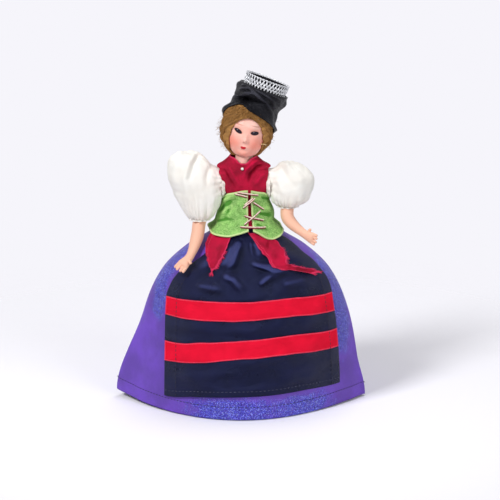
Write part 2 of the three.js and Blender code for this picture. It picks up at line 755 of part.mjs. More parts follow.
// Hairpin: a bent wire lying on the hair beside the left cheek.
function hairpin() {
  const z = WIG.centreZ - 6;
  const along = (angle, dz) => {
    const r = wigRing(z + dz) * 1.03;
    const stand = PIN.radius + GAP;
    const x = (WIG.half * r + stand) * Math.sin(angle);
    return at(x, WIG.centreY - (WIG.depth * r + stand) * Math.cos(angle), z + dz);
  };
  return cord([along(0.86, 1), along(1, 0.6), along(1.14, 0), along(1.28, -0.6)], PIN.radius, 5, 5);
}

// Clothes on the upper body

function blouseBody() {
  const heights = steps(BODY.waistZ - 4, BODY.topZ - 3, 4);
  const outer = heights.map((z) => bodyRing(z, GAP + CLOTH.blouse, 16));
  const inner = heights.map((z) => bodyRing(z, GAP, 16));
  const armholes = [RIGHT, LEFT].map((side) => armCutter(side, ARM.ballRadius + 3 * GAP, 4));
  return combine(sleeve(outer, inner), [], armholes);
}

// Scarf: a shaped cloth over the shoulders with a standing collar that dips in front, tucked in the bodice.
const scarfHalf = through([
  [SCARF.lowZ, BODY.waistHalf + 0.4],
  [BODY.chestZ, BODY.chestHalf],
  [BODY.shoulderZ + 3, BODY.chestHalf + 0.3],
  [SCARF.shoulderZ - 1, BODY.chestHalf + 1.2],
  [SCARF.shoulderZ, SCARF.shoulderHalf],
  [SCARF.shoulderZ + 1.6, SCARF.shoulderHalf - 2.4],
  [SCARF.collarZ, SCARF.collarHalf],
]);

const scarfDepth = through([
  [SCARF.lowZ, BODY.waistDepth + 0.6],
  [BODY.chestZ, BODY.chestDepth],
  [SCARF.shoulderZ, BODY.neckHalf],
  [SCARF.collarZ, SCARF.collarHalf],
]);

function scarf() {
  const under = 2 * GAP + CLOTH.blouse;
  const bare = (z, stand) => bodyRing(z, stand, 20, scarfHalf, scarfDepth);
  const dip = ({ x, y }) => ease(-y, 0, SCARF.collarHalf) * Math.max(0, 1 - Math.abs(x - HEAD.x) / SCARF.collarHalf);
  const ring = (z, stand) => {
    const dips = bare(z, under).map(dip);
    const depth = SCARF.notch * ease(z, SCARF.shoulderZ + 1.6, SCARF.collarZ);
    return bare(z, stand).map((point, i) => point.setZ(point.z - depth * dips[i]));
  };
  const levels = [
    [SCARF.lowZ, 0], [BODY.chestZ, 0], [BODY.shoulderZ, 0], [SCARF.shoulderZ - 1, SCARF.underSag],
    [SCARF.shoulderZ, SCARF.edgeSag], [SCARF.shoulderZ + 1.6, 0], [SCARF.collarZ, 0],
  ];
  const outer = levels.map(([z, sag]) => ring(z, under + CLOTH.scarf).map((point) => point.setZ(point.z - sag)));
  const shape = sleeve(outer, levels.map(([z]) => ring(z, under)));
  const armholes = [RIGHT, LEFT].map((side) => armCutter(side, ARM.ballRadius + 5 * GAP, 5));
  return combine(shape, [], armholes);
}

// Bodice: felt from one front edge round the back to the other, flared below the waist.

const bodiceHalf = through([
  [84, 20.5],
  [88, 18],
  [91, 15.6],
  [93.5, 14.2],
  [96.5, 13],
  [99.5, 12.2],
  [BODICE.sideTopZ, 11.3],
  [BODICE.frontTopZ, 11.2],
]);

const bodiceDepth = through([[84, 18.9], [88, 16.6], [91, 14], [94, 11.7], [98, 10.5], [BODICE.frontTopZ, 10.2]]);

// Heights of the lower and the upper edge, by the angle from the front towards the left side.
const bodiceHem = through([[-3.2, 88], [-1.3, 87.6], [-0.55, 87], [0.15, 90.2], [0.75, 85.2], [1.3, 87.4], [3.2, 88]]);

const bodiceTop = through([
  [-3.2, BODICE.backTopZ],
  [-Math.PI / 2, BODICE.sideTopZ],
  [-0.75, BODICE.frontTopZ - 1.8],
  [0, BODICE.frontTopZ],
  [0.85, BODICE.frontTopZ - 1.8],
  [Math.PI / 2, BODICE.sideTopZ],
  [3.2, BODICE.backTopZ],
]);

// Point of the outer face of the bodice, standing off by a distance.
function bodicePoint(angle, z, stand) {
  const wave = BODICE.wave * Math.sin(6 * angle + 0.8) * (1 - ease(z, 86, 93.5));
  const x = (bodiceHalf(z) + wave + stand) * Math.sin(angle);
  return at(BODY.x + x, -(bodiceDepth(z) + wave + stand) * Math.cos(angle), z);
}

// Angle at which the bodice passes a place on its front.
const bodiceAngle = (x, z) => Math.asin((x - BODY.x) / bodiceHalf(z));

function feltBodice() {
  const grid = (stand) => steps(0, 1, 6).map((share) => steps(0, 1, 28).map((along) => {
    const middle = mix(BODICE.gapX - BODICE.gapHalf, BODICE.gapX + BODICE.gapHalf, along);
    const start = bodiceAngle(middle, BODY.waistZ);
    const turn = start - 2 * Math.PI * along;
    const angle = turn < -Math.PI ? turn + 2 * Math.PI : turn;
    const z = mix(bodiceHem(angle), bodiceTop(angle), share ** 1.25);
    return bodicePoint(angle, z, stand);
  }));
  return sheet(grid(0), grid(-CLOTH.felt));
}

// Lacing: one cord, each place given by x, z and a lift where it passes over itself.
const LACE_ROUTE = [
  [1.4, 92.6, 0], [5.3, 95.5, 0], [9.4, 98.4, 0], [10.8, 99.4, 0], [9.6, 100.8, 0],
  [5.4, 103.5, 0], [2.6, 105.6, 0], [-1, 106.9, 0], [-3, 107, 0], [-2.6, 108, 0],
  [0, 108.4, 0], [5, 107.7, 0], [9.2, 106.7, 0.2], [8.6, 105.5, 0.5], [5.4, 103.5, 1],
  [2, 101.2, 0.4], [0.8, 99.6, 0], [0.9, 97.8, 0], [2.2, 96.5, 0.4], [5.3, 95.5, 1],
  [9, 94.6, 0.3], [11.4, 93.6, 0], [12, 91.9, 0], [10.4, 90.7, 0], [5.6, 91, 0], [-0.4, 91.4, 0],
];

function lacing() {
  const stand = CORD.lacing + GAP;
  const points = LACE_ROUTE.map(([x, z, lift]) => bodicePoint(bodiceAngle(x, z), z, stand + lift));
  return cord(points, CORD.lacing, 5, 44);
}

// Puff sleeves, gathered at the armhole and at the cuff, cut by the arm that they ride on

// Stations of each sleeve from the cuff up: height, middle x, half width, middle y, half depth.
const PUFF = {
  [RIGHT]: [
    [92.6, -20.4, 4.8, -4.4, 4.8], [96, -20.4, 7.2, -3.4, 7.2], [100.5, -20.6, 10, -2.2, 9.2],
    [106, -20.8, 12.6, -1.2, 10.6], [112, -22.6, 13.2, -0.6, 11], [118.5, -25, 11.4, -0.4, 9.4],
    [123.4, -26.4, 8.6, 0, 6.8], [126, -26.6, 5, 0, 3.8],
  ],
  [LEFT]: [
    [98.6, 23.4, 5, -2.6, 4.8], [101, 23.9, 8, -2, 7.4], [104.6, 24.4, 10.8, -1.2, 9.4],
    [109.7, 24.8, 12.4, -0.6, 10.2], [114.8, 25, 11.8, -0.4, 9.6], [119, 24.6, 8.6, 0, 7],
    [122.4, 24, 4.4, 0, 3.8],
  ],
};

// Least distance from the body axis, by the distance from the shoulder joint's axis.
const sleeveLimit = through([[6, 12], [10, 12.6], [12, 13.1], [15, 14.4], [18, 15.6], [24, 18]]);

function puffSleeve(side) {
  const rings = PUFF[side].map(([z, middleX, halfX, middleY, halfY], row) => {
    return Array.from({ length: 18 }, (unused, i) => {
      const angle = (2 * Math.PI * i) / 18;
      const crease = 1 + 0.035 * Math.sin(5 * angle + row) + 0.025 * Math.sin(7 * angle - 2 * row);
      const point = at(middleX + halfX * crease * Math.cos(angle), middleY + halfY * crease * Math.sin(angle), z);
      const fromAxis = Math.hypot(point.y, point.z - BODY.shoulderZ);
      point.x = BODY.x + side * Math.max(side * (point.x - BODY.x), sleeveLimit(fromAxis));
      return point;
    });
  });
  const gather = loft([[1.6, 0.9], [5.2, 1.3], [9.6, 3.2], [12, 3.6]].map(([out, fuller]) => {
    const radius = ARM.ballRadius + fuller;
    return steps(0, 2 * Math.PI, 16).slice(1).map((angle) => at(
      BODY.x + side * (ARM.seatX + out),
      radius * Math.cos(angle),
      BODY.shoulderZ + radius * Math.sin(angle),
    ));
  }));
  return combine(loft(rings), [gather], [armShape(side, GAP + 0.1)]);
}

// Skirt: two bell-shaped panels that meet at the side seams

const skirtHalf = through([
  [0, SKIRT.hemHalf], [22, 57.2], [40, 52.3], [55, 47.5], [67, 41], [78, 29.5], [84, 20], [88, 13.9],
  [SKIRT.topZ, 11.8],
]);
const skirtFront = through([
  [0, SKIRT.hemFront], [20, 38.5], [40, 36], [54, 32.5], [67, 27], [78, 19.5], [85, 13.2], [SKIRT.topZ, 10.6],
]);
const skirtBack = through([
  [0, SKIRT.hemBack], [20, 38], [40, 34.6], [54, 30.6], [67, 25], [78, 18], [85, 12.2], [SKIRT.topZ, 10.4],
]);
const skirtCentre = (z) => BODY.x * ease(z, 12, 45);
const skirtPower = (z) => mix(SKIRT.seamSharpness, 1, ease(z, 0, 80));

// Share of the depth that is left at a sideways place.
function skirtShare(x, z, stand) {
  const across = (x - skirtCentre(z)) / (skirtHalf(z) + stand);
  return Math.max(0, 1 - across * across) ** (skirtPower(z) / 2);
}

// Front face of the skirt at a place, standing off by a distance.
const skirtFrontY = (x, z, stand) => -GAP / 2 - (skirtFront(z) + stand) * skirtShare(x, z, stand);

// Heights at which the bell bends most.
const bellRows = [30, 57, 67, 75, 82, 86];
const skirtRows = [0, 14, 45, APRON.topZ + GAP, SKIRT.topZ, ...bellRows].sort((a, b) => a - b);

function skirtPanel(facing) {
  const depthOf = facing < 0 ? skirtFront : skirtBack;
  const grid = (wall) => skirtRows.map((level) => steps(0, 1, 20).map((share) => {
    const turn = Math.PI * share;
    const inset = wall * mix(1, 1.7, ease(level, 60, 80));
    const swing = facing < 0 ? ease(Math.abs(Math.cos(turn)), 0.78, 0.92) : Math.sin(turn);
    const fold = SKIRT.fold * Math.sin(2 * Math.PI * SKIRT.folds * share) * swing * (1 - ease(level, 30, 75));
    const out = fold * Math.sin(turn) - inset;
    const x = skirtCentre(level) - (skirtHalf(level) + out) * Math.cos(turn);
    const y = facing * (GAP / 2 + (depthOf(level) + out) * Math.sin(turn) ** skirtPower(level));
    const rise = SKIRT.cornerRise * Math.abs(Math.cos(turn)) ** 4 * (1 - ease(level, 0, 40));
    return at(x, y, level + rise);
  }));
  return sheet(grid(0), grid(CLOTH.skirt));
}

// Ring inside or outside the bell of the skirt.
function skirtRing(z, stand, count) {
  return Array.from({ length: count }, (unused, i) => {
    const angle = (2 * Math.PI * i) / count;
    const [s, c] = [Math.sin(angle), Math.cos(angle)];
    const depth = (c > 0 ? skirtFront(z) : skirtBack(z)) + stand;
    return at(skirtCentre(z) + (skirtHalf(z) + stand) * s, -Math.sign(c) * depth * Math.abs(c) ** skirtPower(z), z);
  });
}

function petticoat() {
  const heights = [PETTICOAT.hemZ, ...bellRows, SKIRT.topZ - 0.5];
  const inset = (z) => mix(PETTICOAT.inset, PETTICOAT.topInset, ease(z, 60, SKIRT.topZ));
  const outer = heights.map((z) => skirtRing(z, -inset(z), 20));
  const inner = heights.map((z) => skirtRing(z, -inset(z) - CLOTH.petticoat, 20));
  return sleeve(outer, inner);
}

function waistband() {
  const heights = [APRON.topZ + GAP, APRON.topZ + GAP + WAISTBAND.height];
  const outer = heights.map((z) => skirtRing(z, 2 * GAP + CLOTH.band, 20));
  const inner = heights.map((z) => skirtRing(z, 2 * GAP, 20));
  return sleeve(outer, inner);
}

// Apron: a gathered cloth lying on the front of the skirt, with two ribbons and the scarf ends on it

const apronLeftEdge = through([
  [APRON.hemZ, -38], [28, -38.2], [45, -37.8], [56, -37], [62, -35.4], [68, -31.5], [72.5, -25], [77, -18.5],
  [84, -12], [APRON.topZ, -8.5],
]);
const apronRightEdge = through([
  [APRON.hemZ, 49], [30, 48.6], [57, 45.4], [62, 43.5], [70, 37], [78, 28], [84, 19.5], [APRON.topZ, 13],
]);

// Drapery of the apron: pleats that fan out from the waist and die out above the upper ribbon.
function apronFold(x, z) {
  const fan = Math.atan2(x - BODY.x, APRON.topZ + 8 - z);
  const pleats = 0.5 + 0.5 * Math.sin(10 * fan + 0.8);
  const swag = bump(x, 6, 14) * bump(z, 66, 4);
  const fade = ease(z, 58.6, 66) * (1 - ease(z, 78, APRON.topZ));
  return APRON.fold * (pleats * fade + 0.8 * swag * ease(z, 58.6, 62));
}

// Outer face of the apron, standing off by a distance.
const apronY = (x, z, stand) => skirtFrontY(x, z, 2 * GAP + CLOTH.apron + apronFold(x, z) + stand);

const apronColumns = steps(0, 1, 20);

function apronRow(z, stand) {
  const [left, right] = [apronLeftEdge(z), apronRightEdge(z)];
  return apronColumns.map((share) => {
    const rise = APRON.hemRise * share * (1 - ease(z, APRON.hemZ, 26));
    const x = mix(left, right, share);
    return at(x, apronY(x, z + rise, stand), z + rise);
  });
}

// Edges of a ribbon, by the height of its middle.
const ribbonEdges = (z) => [z - APRON.ribbon / 2, z + APRON.ribbon / 2];

function apron() {
  const heights = [
    APRON.hemZ, 20, ...ribbonEdges(APRON.lowerZ), ...ribbonEdges(APRON.upperZ), 62, 66, 70, 74.5, 79, 84,
    APRON.topZ,
  ];
  return sheet(heights.map((z) => apronRow(z, 0)), heights.map((z) => apronRow(z, -CLOTH.apron)));
}

function ribbon(middleZ) {
  const heights = ribbonEdges(middleZ);
  const face = heights.map((z) => apronRow(z, GAP + CLOTH.ribbon));
  return sheet(face, heights.map((z) => apronRow(z, GAP)));
}

// Outlines of the scarf ends: their two long edges, from the waist to the frayed tip.
const SCARF_END = {
  [RIGHT]: {
    near: [[-13.3, 87.6], [-16.8, 82.6], [-16.9, 77], [-15.4, 72.3]],
    far: [[-4.5, 87.6], [-6.4, 82.4], [-9.3, 77.6], [-13, 72.9]],
  },
  [LEFT]: {
    near: [[3.2, 87.8], [7.6, 82.2], [13, 77], [20, 73.2], [30, 70], [38.4, 67.4]],
    far: [[11.8, 87], [18.2, 83.4], [22.2, 78.6], [26.5, 75.3], [32, 72.8], [39, 70.1]],
  },
};

function scarfEnd(side) {
  const { near, far } = SCARF_END[side];
  const curve = (edge) => new THREE.CatmullRomCurve3(edge.map(([x, z]) => at(x, 0, z)), false, 'centripetal');
  const [nearCurve, farCurve] = [curve(near), curve(far)];
  const grid = (stand) => steps(0, 1, 9).map((along) => steps(0, 1, 3).map((share) => {
    const place = nearCurve.getPoint(along).lerp(farCurve.getPoint(along), share);
    return at(place.x, apronY(place.x, place.z, stand), place.z);
  }));
  return sheet(grid(1.5 * GAP + CLOTH.scarf), grid(1.5 * GAP));
}

// Pin with a round head at the point of the scarf.
function neckPin() {
  const z = SCARF.collarZ - GAP;
  const y = -(BODY.neckHalf + 3 * GAP + CLOTH.blouse + CLOTH.scarf + PIN.headRadius);
  const ball = ovoid(at(HEAD.x, y, z), at(PIN.headRadius, PIN.headRadius, PIN.headRadius), 8, 6);
  const shank = rodZ(PIN.radius, z - PIN.length, z, HEAD.x, y, 6);
  return combine(ball, [shank], []);
}

// Assembly

const doll = new THREE.Group();

function place(parent, name, geometry, look) {
  const mesh = new THREE.Mesh(geometry, new THREE.MeshStandardMaterial(look));
  mesh.name = name;
  parent.add(mesh);
}

place(doll, 'torso_shell', torsoShell(), LOOK.celluloid);
place(doll, 'blouse_body', blouseBody(), LOOK.muslin);
place(doll, 'scarf', scarf(), LOOK.redCotton);
place(doll, 'neck_pin', neckPin(), LOOK.pearl);
place(doll, 'felt_bodice', feltBodice(), LOOK.greenFelt);
place(doll, 'bodice_lacing', lacing(), LOOK.lacing);
place(doll, 'skirt_front', skirtPanel(-1), LOOK.violetSatin);
place(doll, 'skirt_back', skirtPanel(1), LOOK.violetSatin);
place(doll, 'petticoat', petticoat(), LOOK.muslin);
place(doll, 'apron', apron(), LOOK.navySatin);
place(doll, 'apron_waistband', waistband(), LOOK.navySatin);
place(doll, 'upper_ribbon', ribbon(APRON.upperZ), LOOK.redRibbon);
place(doll, 'lower_ribbon', ribbon(APRON.lowerZ), LOOK.redRibbon);

for (const [side, word] of [[RIGHT, 'right'], [LEFT, 'left']]) {
  place(doll, `${word}_arm`, arm(side), LOOK.celluloid);
  place(doll, `${word}_sleeve`, puffSleeve(side), LOOK.muslin);
  place(doll, `${word}_arm_hook`, limbHook(side, ARM.seatX, ARM.ballX, BODY.shoulderZ), LOOK.steel);
  place(doll, `${word}_leg`, leg(side), LOOK.celluloid);
  place(doll, `${word}_leg_hook`, limbHook(side, LEG.seatX, LEG.ballX, BODY.hipZ), LOOK.steel);
  place(doll, `${word}_scarf_end`, scarfEnd(side), LOOK.redCotton);
}

place(doll, 'arm_elastic', pairElastic(ARM.seatX, BODY.shoulderZ), LOOK.elastic);
place(doll, 'leg_elastic', pairElastic(LEG.seatX, BODY.hipZ), LOOK.elastic);
place(doll, 'neck_elastic', neckElastic(HEAD.z - HEAD.neckDrop - 1.6), LOOK.elastic);

const headGroup = new THREE.Group();
headGroup.position.set(HEAD.x, 0, HEAD.z);
headGroup.rotation.y = rad(HEAD.tilt);
doll.add(headGroup);
place(headGroup, 'head', headShell(), LOOK.celluloid);
place(headGroup, 'neck_hook', neckHook(), LOOK.steel);
place(headGroup, 'wig', wig(), LOOK.mohair);
place(headGroup, 'satin_cap', cap(), LOOK.blackSatin);
place(headGroup, 'cap_former', capFormer(), LOOK.card);
place(headGroup, 'net_crown', netCrown(), LOOK.silver);
place(headGroup, 'hairpin', hairpin(), LOOK.steel);

export default doll;
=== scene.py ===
"""Dressed model of a strung celluloid doll in a laced folk dress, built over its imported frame.

Sizes are written in millimetres and become metres in the meshes. The doll faces -Y and its own left is +X.
"""

import logging
import math
from dataclasses import dataclass
from enum import Enum
from typing import Callable, Iterable, Optional, Sequence

import bmesh
import bpy
import numpy as np
from mathutils import Matrix, Vector


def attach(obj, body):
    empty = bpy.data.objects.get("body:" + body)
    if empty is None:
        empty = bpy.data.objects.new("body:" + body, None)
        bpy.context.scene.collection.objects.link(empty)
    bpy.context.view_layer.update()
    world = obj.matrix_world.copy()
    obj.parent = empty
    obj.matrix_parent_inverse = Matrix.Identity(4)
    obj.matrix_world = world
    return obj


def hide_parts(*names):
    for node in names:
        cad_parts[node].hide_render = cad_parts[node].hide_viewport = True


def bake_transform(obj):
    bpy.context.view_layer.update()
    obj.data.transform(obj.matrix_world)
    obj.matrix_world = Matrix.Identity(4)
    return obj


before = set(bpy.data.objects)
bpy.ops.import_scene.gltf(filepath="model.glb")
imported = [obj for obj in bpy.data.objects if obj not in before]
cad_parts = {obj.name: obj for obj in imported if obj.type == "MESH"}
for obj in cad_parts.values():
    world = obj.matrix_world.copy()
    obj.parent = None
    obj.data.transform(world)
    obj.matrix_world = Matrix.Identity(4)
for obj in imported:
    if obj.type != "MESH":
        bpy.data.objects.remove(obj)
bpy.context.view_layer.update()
LOG = logging.getLogger("doll")

MM = 0.001  # one millimetre in metres
GAP = 0.3  # room between neighbouring pieces
NARROWEST_CUT = 10.2  # narrowest cut of cloth that can be declared
LEAST_AREA = 0.302  # least share of its cut that a declared cloth covers
SEED = 7
SEEN_UP, SEEN_DEPTH = 0.956, 0.292  # height and depth as a picture from 17 degrees above shows them

Array = np.ndarray
Colour = tuple[float, float, float]
Point = tuple[float, float, float]
Piece = bpy.types.Object
Tree = bpy.types.NodeTree
Node = bpy.types.Node
Socket = bpy.types.NodeSocket
Material = bpy.types.Material

TREES: dict[str, Tree] = {}


# Small mathematics


class Profile:
    """Smooth curve through pairs of place and value, with no overshoot between them."""

    def __init__(self, *pairs: tuple[float, float]) -> None:
        """Keeps the pairs and works out the slope at each.

        Args:
            pairs: place and value, in rising order of place.
        """
        self.x, self.y = np.array(pairs, float).T
        rise = np.diff(self.y) / np.diff(self.x)
        self.slope = np.zeros(len(self.x))
        before, after = rise[:-1], rise[1:]
        same = before * after > 0
        self.slope[1:-1][same] = 2 * before[same] * after[same] / (before[same] + after[same])

    def __call__(self, place: Array | float) -> Array:
        """Value at one or more places.

        Args:
            place: where the curve is read.

        Returns:
            The value at each place, held at the ends.
        """
        p = np.clip(np.asarray(place, float), self.x[0], self.x[-1])
        i = np.clip(np.searchsorted(self.x, p, "left"), 1, len(self.x) - 1)
        span = self.x[i] - self.x[i - 1]
        t = (p - self.x[i - 1]) / span
        rise = self.y[i - 1] * (1 + 2 * t) * (1 - t) ** 2 + self.y[i] * t * t * (3 - 2 * t)
        return rise + span * (self.slope[i - 1] * t * (1 - t) ** 2 + self.slope[i] * t * t * (t - 1))


def ease(x: Array | float, low: float, high: float) -> Array:
    """Smooth step from 0 at low to 1 at high."""
    t = np.clip((np.asarray(x, float) - low) / (high - low), 0, 1)
    return t * t * (3 - 2 * t)


def bump(x: Array | float, middle: float, width: float) -> Array:
    """Bell curve of height 1 round a middle."""
    return np.exp(-(((np.asarray(x, float) - middle) / width) ** 2))


def mix(a: Array | float, b: Array | float, t: Array | float) -> Array:
    """Straight blend from a to b."""
    return a + (b - a) * t


def pair(x: Array, middle: float, width: float) -> Array:
    """Two bell curves, one on each side of 0."""
    return bump(x, middle, width) + bump(x, -middle, width)


def around(count: int, start: float = 0.0) -> Array:
    """One row of angles, evenly round a full turn."""
    return np.linspace(start, start + math.tau, count, endpoint=False)[None, :]


def column(low: float, high: float, count: int) -> Array:
    """One column of even steps."""
    return np.linspace(low, high, count)[:, None]


def row(count: int) -> Array:
    """One row of even steps from 0 to 1."""
    return np.linspace(0, 1, count)[None, :]


def xyz(x: Array, y: Array, z: Array) -> Array:
    """Points from three coordinates, which may be rows, columns or grids."""
    return np.stack(np.broadcast_arrays(x, y, z), -1)


def unit(vectors: Array) -> Array:
    """Vectors made 1 long."""
    return vectors / np.linalg.norm(vectors, axis=-1, keepdims=True)


def ripple(x: Array, z: Array, size: float, seed: int) -> Array:
    """Gentle uneven waves between -1 and 1 over two coordinates.

    Args:
        x, z: the coordinates.
        size: usual length of a wave.
        seed: which set of waves.

    Returns:
        The height of the waves.
    """
    rng = np.random.default_rng(seed)
    total = np.zeros(np.broadcast(x, z).shape)
    for _ in range(7):
        angle, phase, scale = rng.uniform(0, math.tau), rng.uniform(0, math.tau), rng.uniform(0.6, 1.7)
        total += np.sin((x * math.cos(angle) + z * math.sin(angle)) * math.tau * scale / size + phase)
    return total / 4.5


def from_line(x: Array, z: Array, line: Sequence[tuple[float, float]]) -> tuple[Array, Array]:
    """Distance of each place from a line of straight stretches, and how far along the line it lies.

    Args:
        x, z: the coordinates.
        line: corners of the line.

    Returns:
        The distance, and the share of the line's length that is passed there.
    """
    best, share, passed = np.full(np.broadcast(x, z).shape, 1e9), 0.0, 0.0
    for (ax, az), (bx, bz) in zip(line, line[1:]):
        dx, dz = bx - ax, bz - az
        t = np.clip(((x - ax) * dx + (z - az) * dz) / (dx * dx + dz * dz), 0, 1)
        away = np.hypot(x - ax - t * dx, z - az - t * dz)
        share = np.where(away < best, passed + t * math.hypot(dx, dz), share)
        best = np.minimum(best, away)
        passed += math.hypot(dx, dz)
    return best, share / passed


def creases(points: Array, lines: Sequence[tuple]) -> Array:
    """Height of folds that are drawn as they show from the front and a little above.

    Args:
        points: places on the cloth.
        lines: corners of each fold's line, its height and its half width, as they show.

    Returns:
        The height. A fold widens and fades towards the end of its line.
    """
    height = 0.0
    for line, size, width in lines:
        away, share = from_line(points[..., 0], SEEN_UP * points[..., 2] + SEEN_DEPTH * points[..., 1], line)
        fade = ease(share, -0.05, 0.18) * ease(share, 1.03, 0.5)
        height = height + size * fade * np.exp(-((away / (width * (0.85 + 0.7 * share))) ** 2))
    return height


def shading(points: Array, lines: Sequence[tuple], shift: Point) -> Array:
    """For painted light and shade: folds above 0 and their shadows below 0, where shift leads from a shadow
    to its fold.
    """
    return creases(points, lines) - creases(points + np.array(shift), lines)


def spline(points: Sequence[Sequence[float]], count: int) -> Array:
    """Centripetal curve of count places through points, evenly numbered from point to point."""
    p = np.array(points, float)
    p = np.vstack([2 * p[0] - p[1], p, 2 * p[-1] - p[-2]])
    last = len(p) - 3
    at = np.linspace(0, last, count)
    i = np.minimum(at.astype(int), last - 1)
    t = (at - i)[:, None]
    p0, p1, p2, p3 = p[i], p[i + 1], p[i + 2], p[i + 3]
    d0, d1, d2 = (np.sqrt(np.linalg.norm(b - a, axis=1))[:, None] for a, b in ((p0, p1), (p1, p2), (p2, p3)))
    t1 = ((p1 - p0) / d0 - (p2 - p0) / (d0 + d1) + (p2 - p1) / d1) * d1
    t2 = ((p2 - p1) / d1 - (p3 - p1) / (d1 + d2) + (p3 - p2) / d2) * d1
    return p1 + t1 * t + (3 * (p2 - p1) - 2 * t1 - t2) * t**2 + (2 * (p1 - p2) + t1 + t2) * t**3


# Meshes


def grid_faces(rows: int, columns: int, wrap: bool) -> Array:
    """Four-sided faces over a grid of points, in a ring where wrap says so, as corner numbers."""
    r = np.arange(rows - 1)[:, None] * columns
    c = np.arange(columns if wrap else columns - 1)[None, :]
    n = (c + 1) % columns
    return np.stack([r + c, r + n, r + columns + n, r + columns + c], -1).reshape(-1, 4)


def new_piece(name: str, points: Array, faces: Sequence, edges: Sequence = ()) -> Piece:
    """Object at the origin, its corners at points in millimetres.

    Args:
        name: name of the piece.
        points: places of the corners.
        faces: corner numbers of each face.
        edges: corner numbers of each loose edge.

    Returns:
        The new piece.
    """
    mesh = bpy.data.meshes.new(name)
    corners = (np.asarray(points, float).reshape(-1, 3) * MM).tolist()
    mesh.from_pydata(corners, list(edges), np.asarray(faces).tolist())
    piece = bpy.data.objects.new(name, mesh)
    bpy.context.scene.collection.objects.link(piece)
    return piece


def set_value(piece: Piece, name: str, values: Array) -> None:
    """Stores one number at each corner of a piece, for its finish to read."""
    layer = piece.data.attributes.new(name, "FLOAT", "POINT")
    layer.data.foreach_set("value", np.asarray(values, np.float32).ravel())


def set_uv(piece: Piece, name: str, uv: Array) -> None:
    """Gives a piece a UV map from one pair of numbers at each corner."""
    layer = piece.data.uv_layers.new(name=name)
    corner = np.zeros(len(piece.data.loops), np.int32)
    piece.data.loops.foreach_get("vertex_index", corner)
    layer.data.foreach_set("uv", np.asarray(uv, np.float32).reshape(-1, 2)[corner].ravel())


def smooth(piece: Piece) -> None:
    """Shades a piece smooth."""
    piece.data.polygons.foreach_set("use_smooth", np.ones(len(piece.data.polygons), bool))


def cloth(
    name: str, grid: Array, thickness: float, wrap: bool = False, keep: Optional[Array] = None,
    centre: Optional[Sequence[float]] = None, fold: Optional[Array] = None,
) -> Piece:
    """Cloth over a grid of points, with its thread coordinates and its distance from each border.

    Args:
        name: name of the piece.
        grid: points in millimetres, rows by columns by 3, the rows running from the lower edge up.
        thickness: how thick the cloth is.
        wrap: whether the columns close in a ring.
        keep: which points are cloth, where the cloth has a hole.
        centre: a point behind the cloth, by which its front is told from its back.
        fold: height of the folds at each point, which the finish reads to paint shade in the valleys and a
            highlight on the crests.

    Returns:
        The piece, its back made by a wall on its inner side.
    """
    rows, columns = grid.shape[:2]
    u = np.pad(np.cumsum(np.linalg.norm(np.diff(grid, axis=1), axis=2), 1), ((0, 0), (1, 0)))
    v = np.pad(np.cumsum(np.linalg.norm(np.diff(grid, axis=0), axis=2), 0), ((1, 0), (0, 0)))
    border = np.minimum(v, v[-1:] - v)
    if not wrap:
        border = np.minimum(border, np.minimum(u, u[:, -1:] - u))
    faces = grid_faces(rows, columns, wrap)
    points = grid.reshape(-1, 3)
    if keep is not None:
        faces = faces[keep.ravel()[faces].any(axis=1)]
    middle = np.array(centre if centre is not None else points.mean(axis=0), float)
    a, b, c = (points[faces[:, k]] for k in range(3))
    normal = np.cross(b - a, c - a)
    if (normal * (a - middle)).sum() < 0:
        faces = faces[:, ::-1]
    used, faces_new = np.unique(faces, return_inverse=True)
    piece = new_piece(name, points[used], faces_new.reshape(-1, 4))
    set_uv(piece, "thread", np.stack([u - u[:, -1:] / 2, v], -1).reshape(-1, 2)[used])
    set_value(piece, "border", border.ravel()[used])
    if fold is not None:
        set_value(piece, "fold", fold.ravel()[used])
    wall = piece.modifiers.new("wall", "SOLIDIFY")
    wall.thickness, wall.offset, wall.use_rim = thickness * MM, -1, True
    smooth(piece)
    return piece


def closed(name: str, rings: Array) -> Piece:
    """Closed skin through rings of points, with a point in the middle of each end.

    Args:
        name: name of the piece.
        rings: points in millimetres, rings by points by 3.

    Returns:
        The piece, its faces pointing out.
    """
    rows, columns = rings.shape[:2]
    points = np.vstack([rings.reshape(-1, 3), rings[0].mean(0), rings[-1].mean(0)])
    ends = [(row * columns + i, row * columns + (i + 1) % columns, tip)
            for row, tip in ((0, rows * columns), (rows - 1, rows * columns + 1)) for i in range(columns)]
    piece = new_piece(name, points, [])
    piece.data.clear_geometry()
    piece.data.from_pydata((points * MM).tolist(), [], grid_faces(rows, columns, True).tolist() + ends)
    turn_out(piece)
    smooth(piece)
    return piece


def turn_out(piece: Piece) -> None:
    """Merges doubled corners and turns every face outwards."""
    work = bmesh.new()
    work.from_mesh(piece.data)
    bmesh.ops.remove_doubles(work, verts=work.verts, dist=1e-7)
    bmesh.ops.recalc_face_normals(work, faces=work.faces)
    work.to_mesh(piece.data)
    work.free()
    piece.data.update()


def settle(piece: Piece) -> Piece:
    """Makes what a piece's modifiers give its own mesh, and takes the modifiers off."""
    graph = bpy.context.evaluated_depsgraph_get()
    mesh = bpy.data.meshes.new_from_object(piece.evaluated_get(graph))
    piece.modifiers.clear()
    old, piece.data = piece.data, mesh
    bpy.data.meshes.remove(old)
    mesh.name = piece.name
    return piece


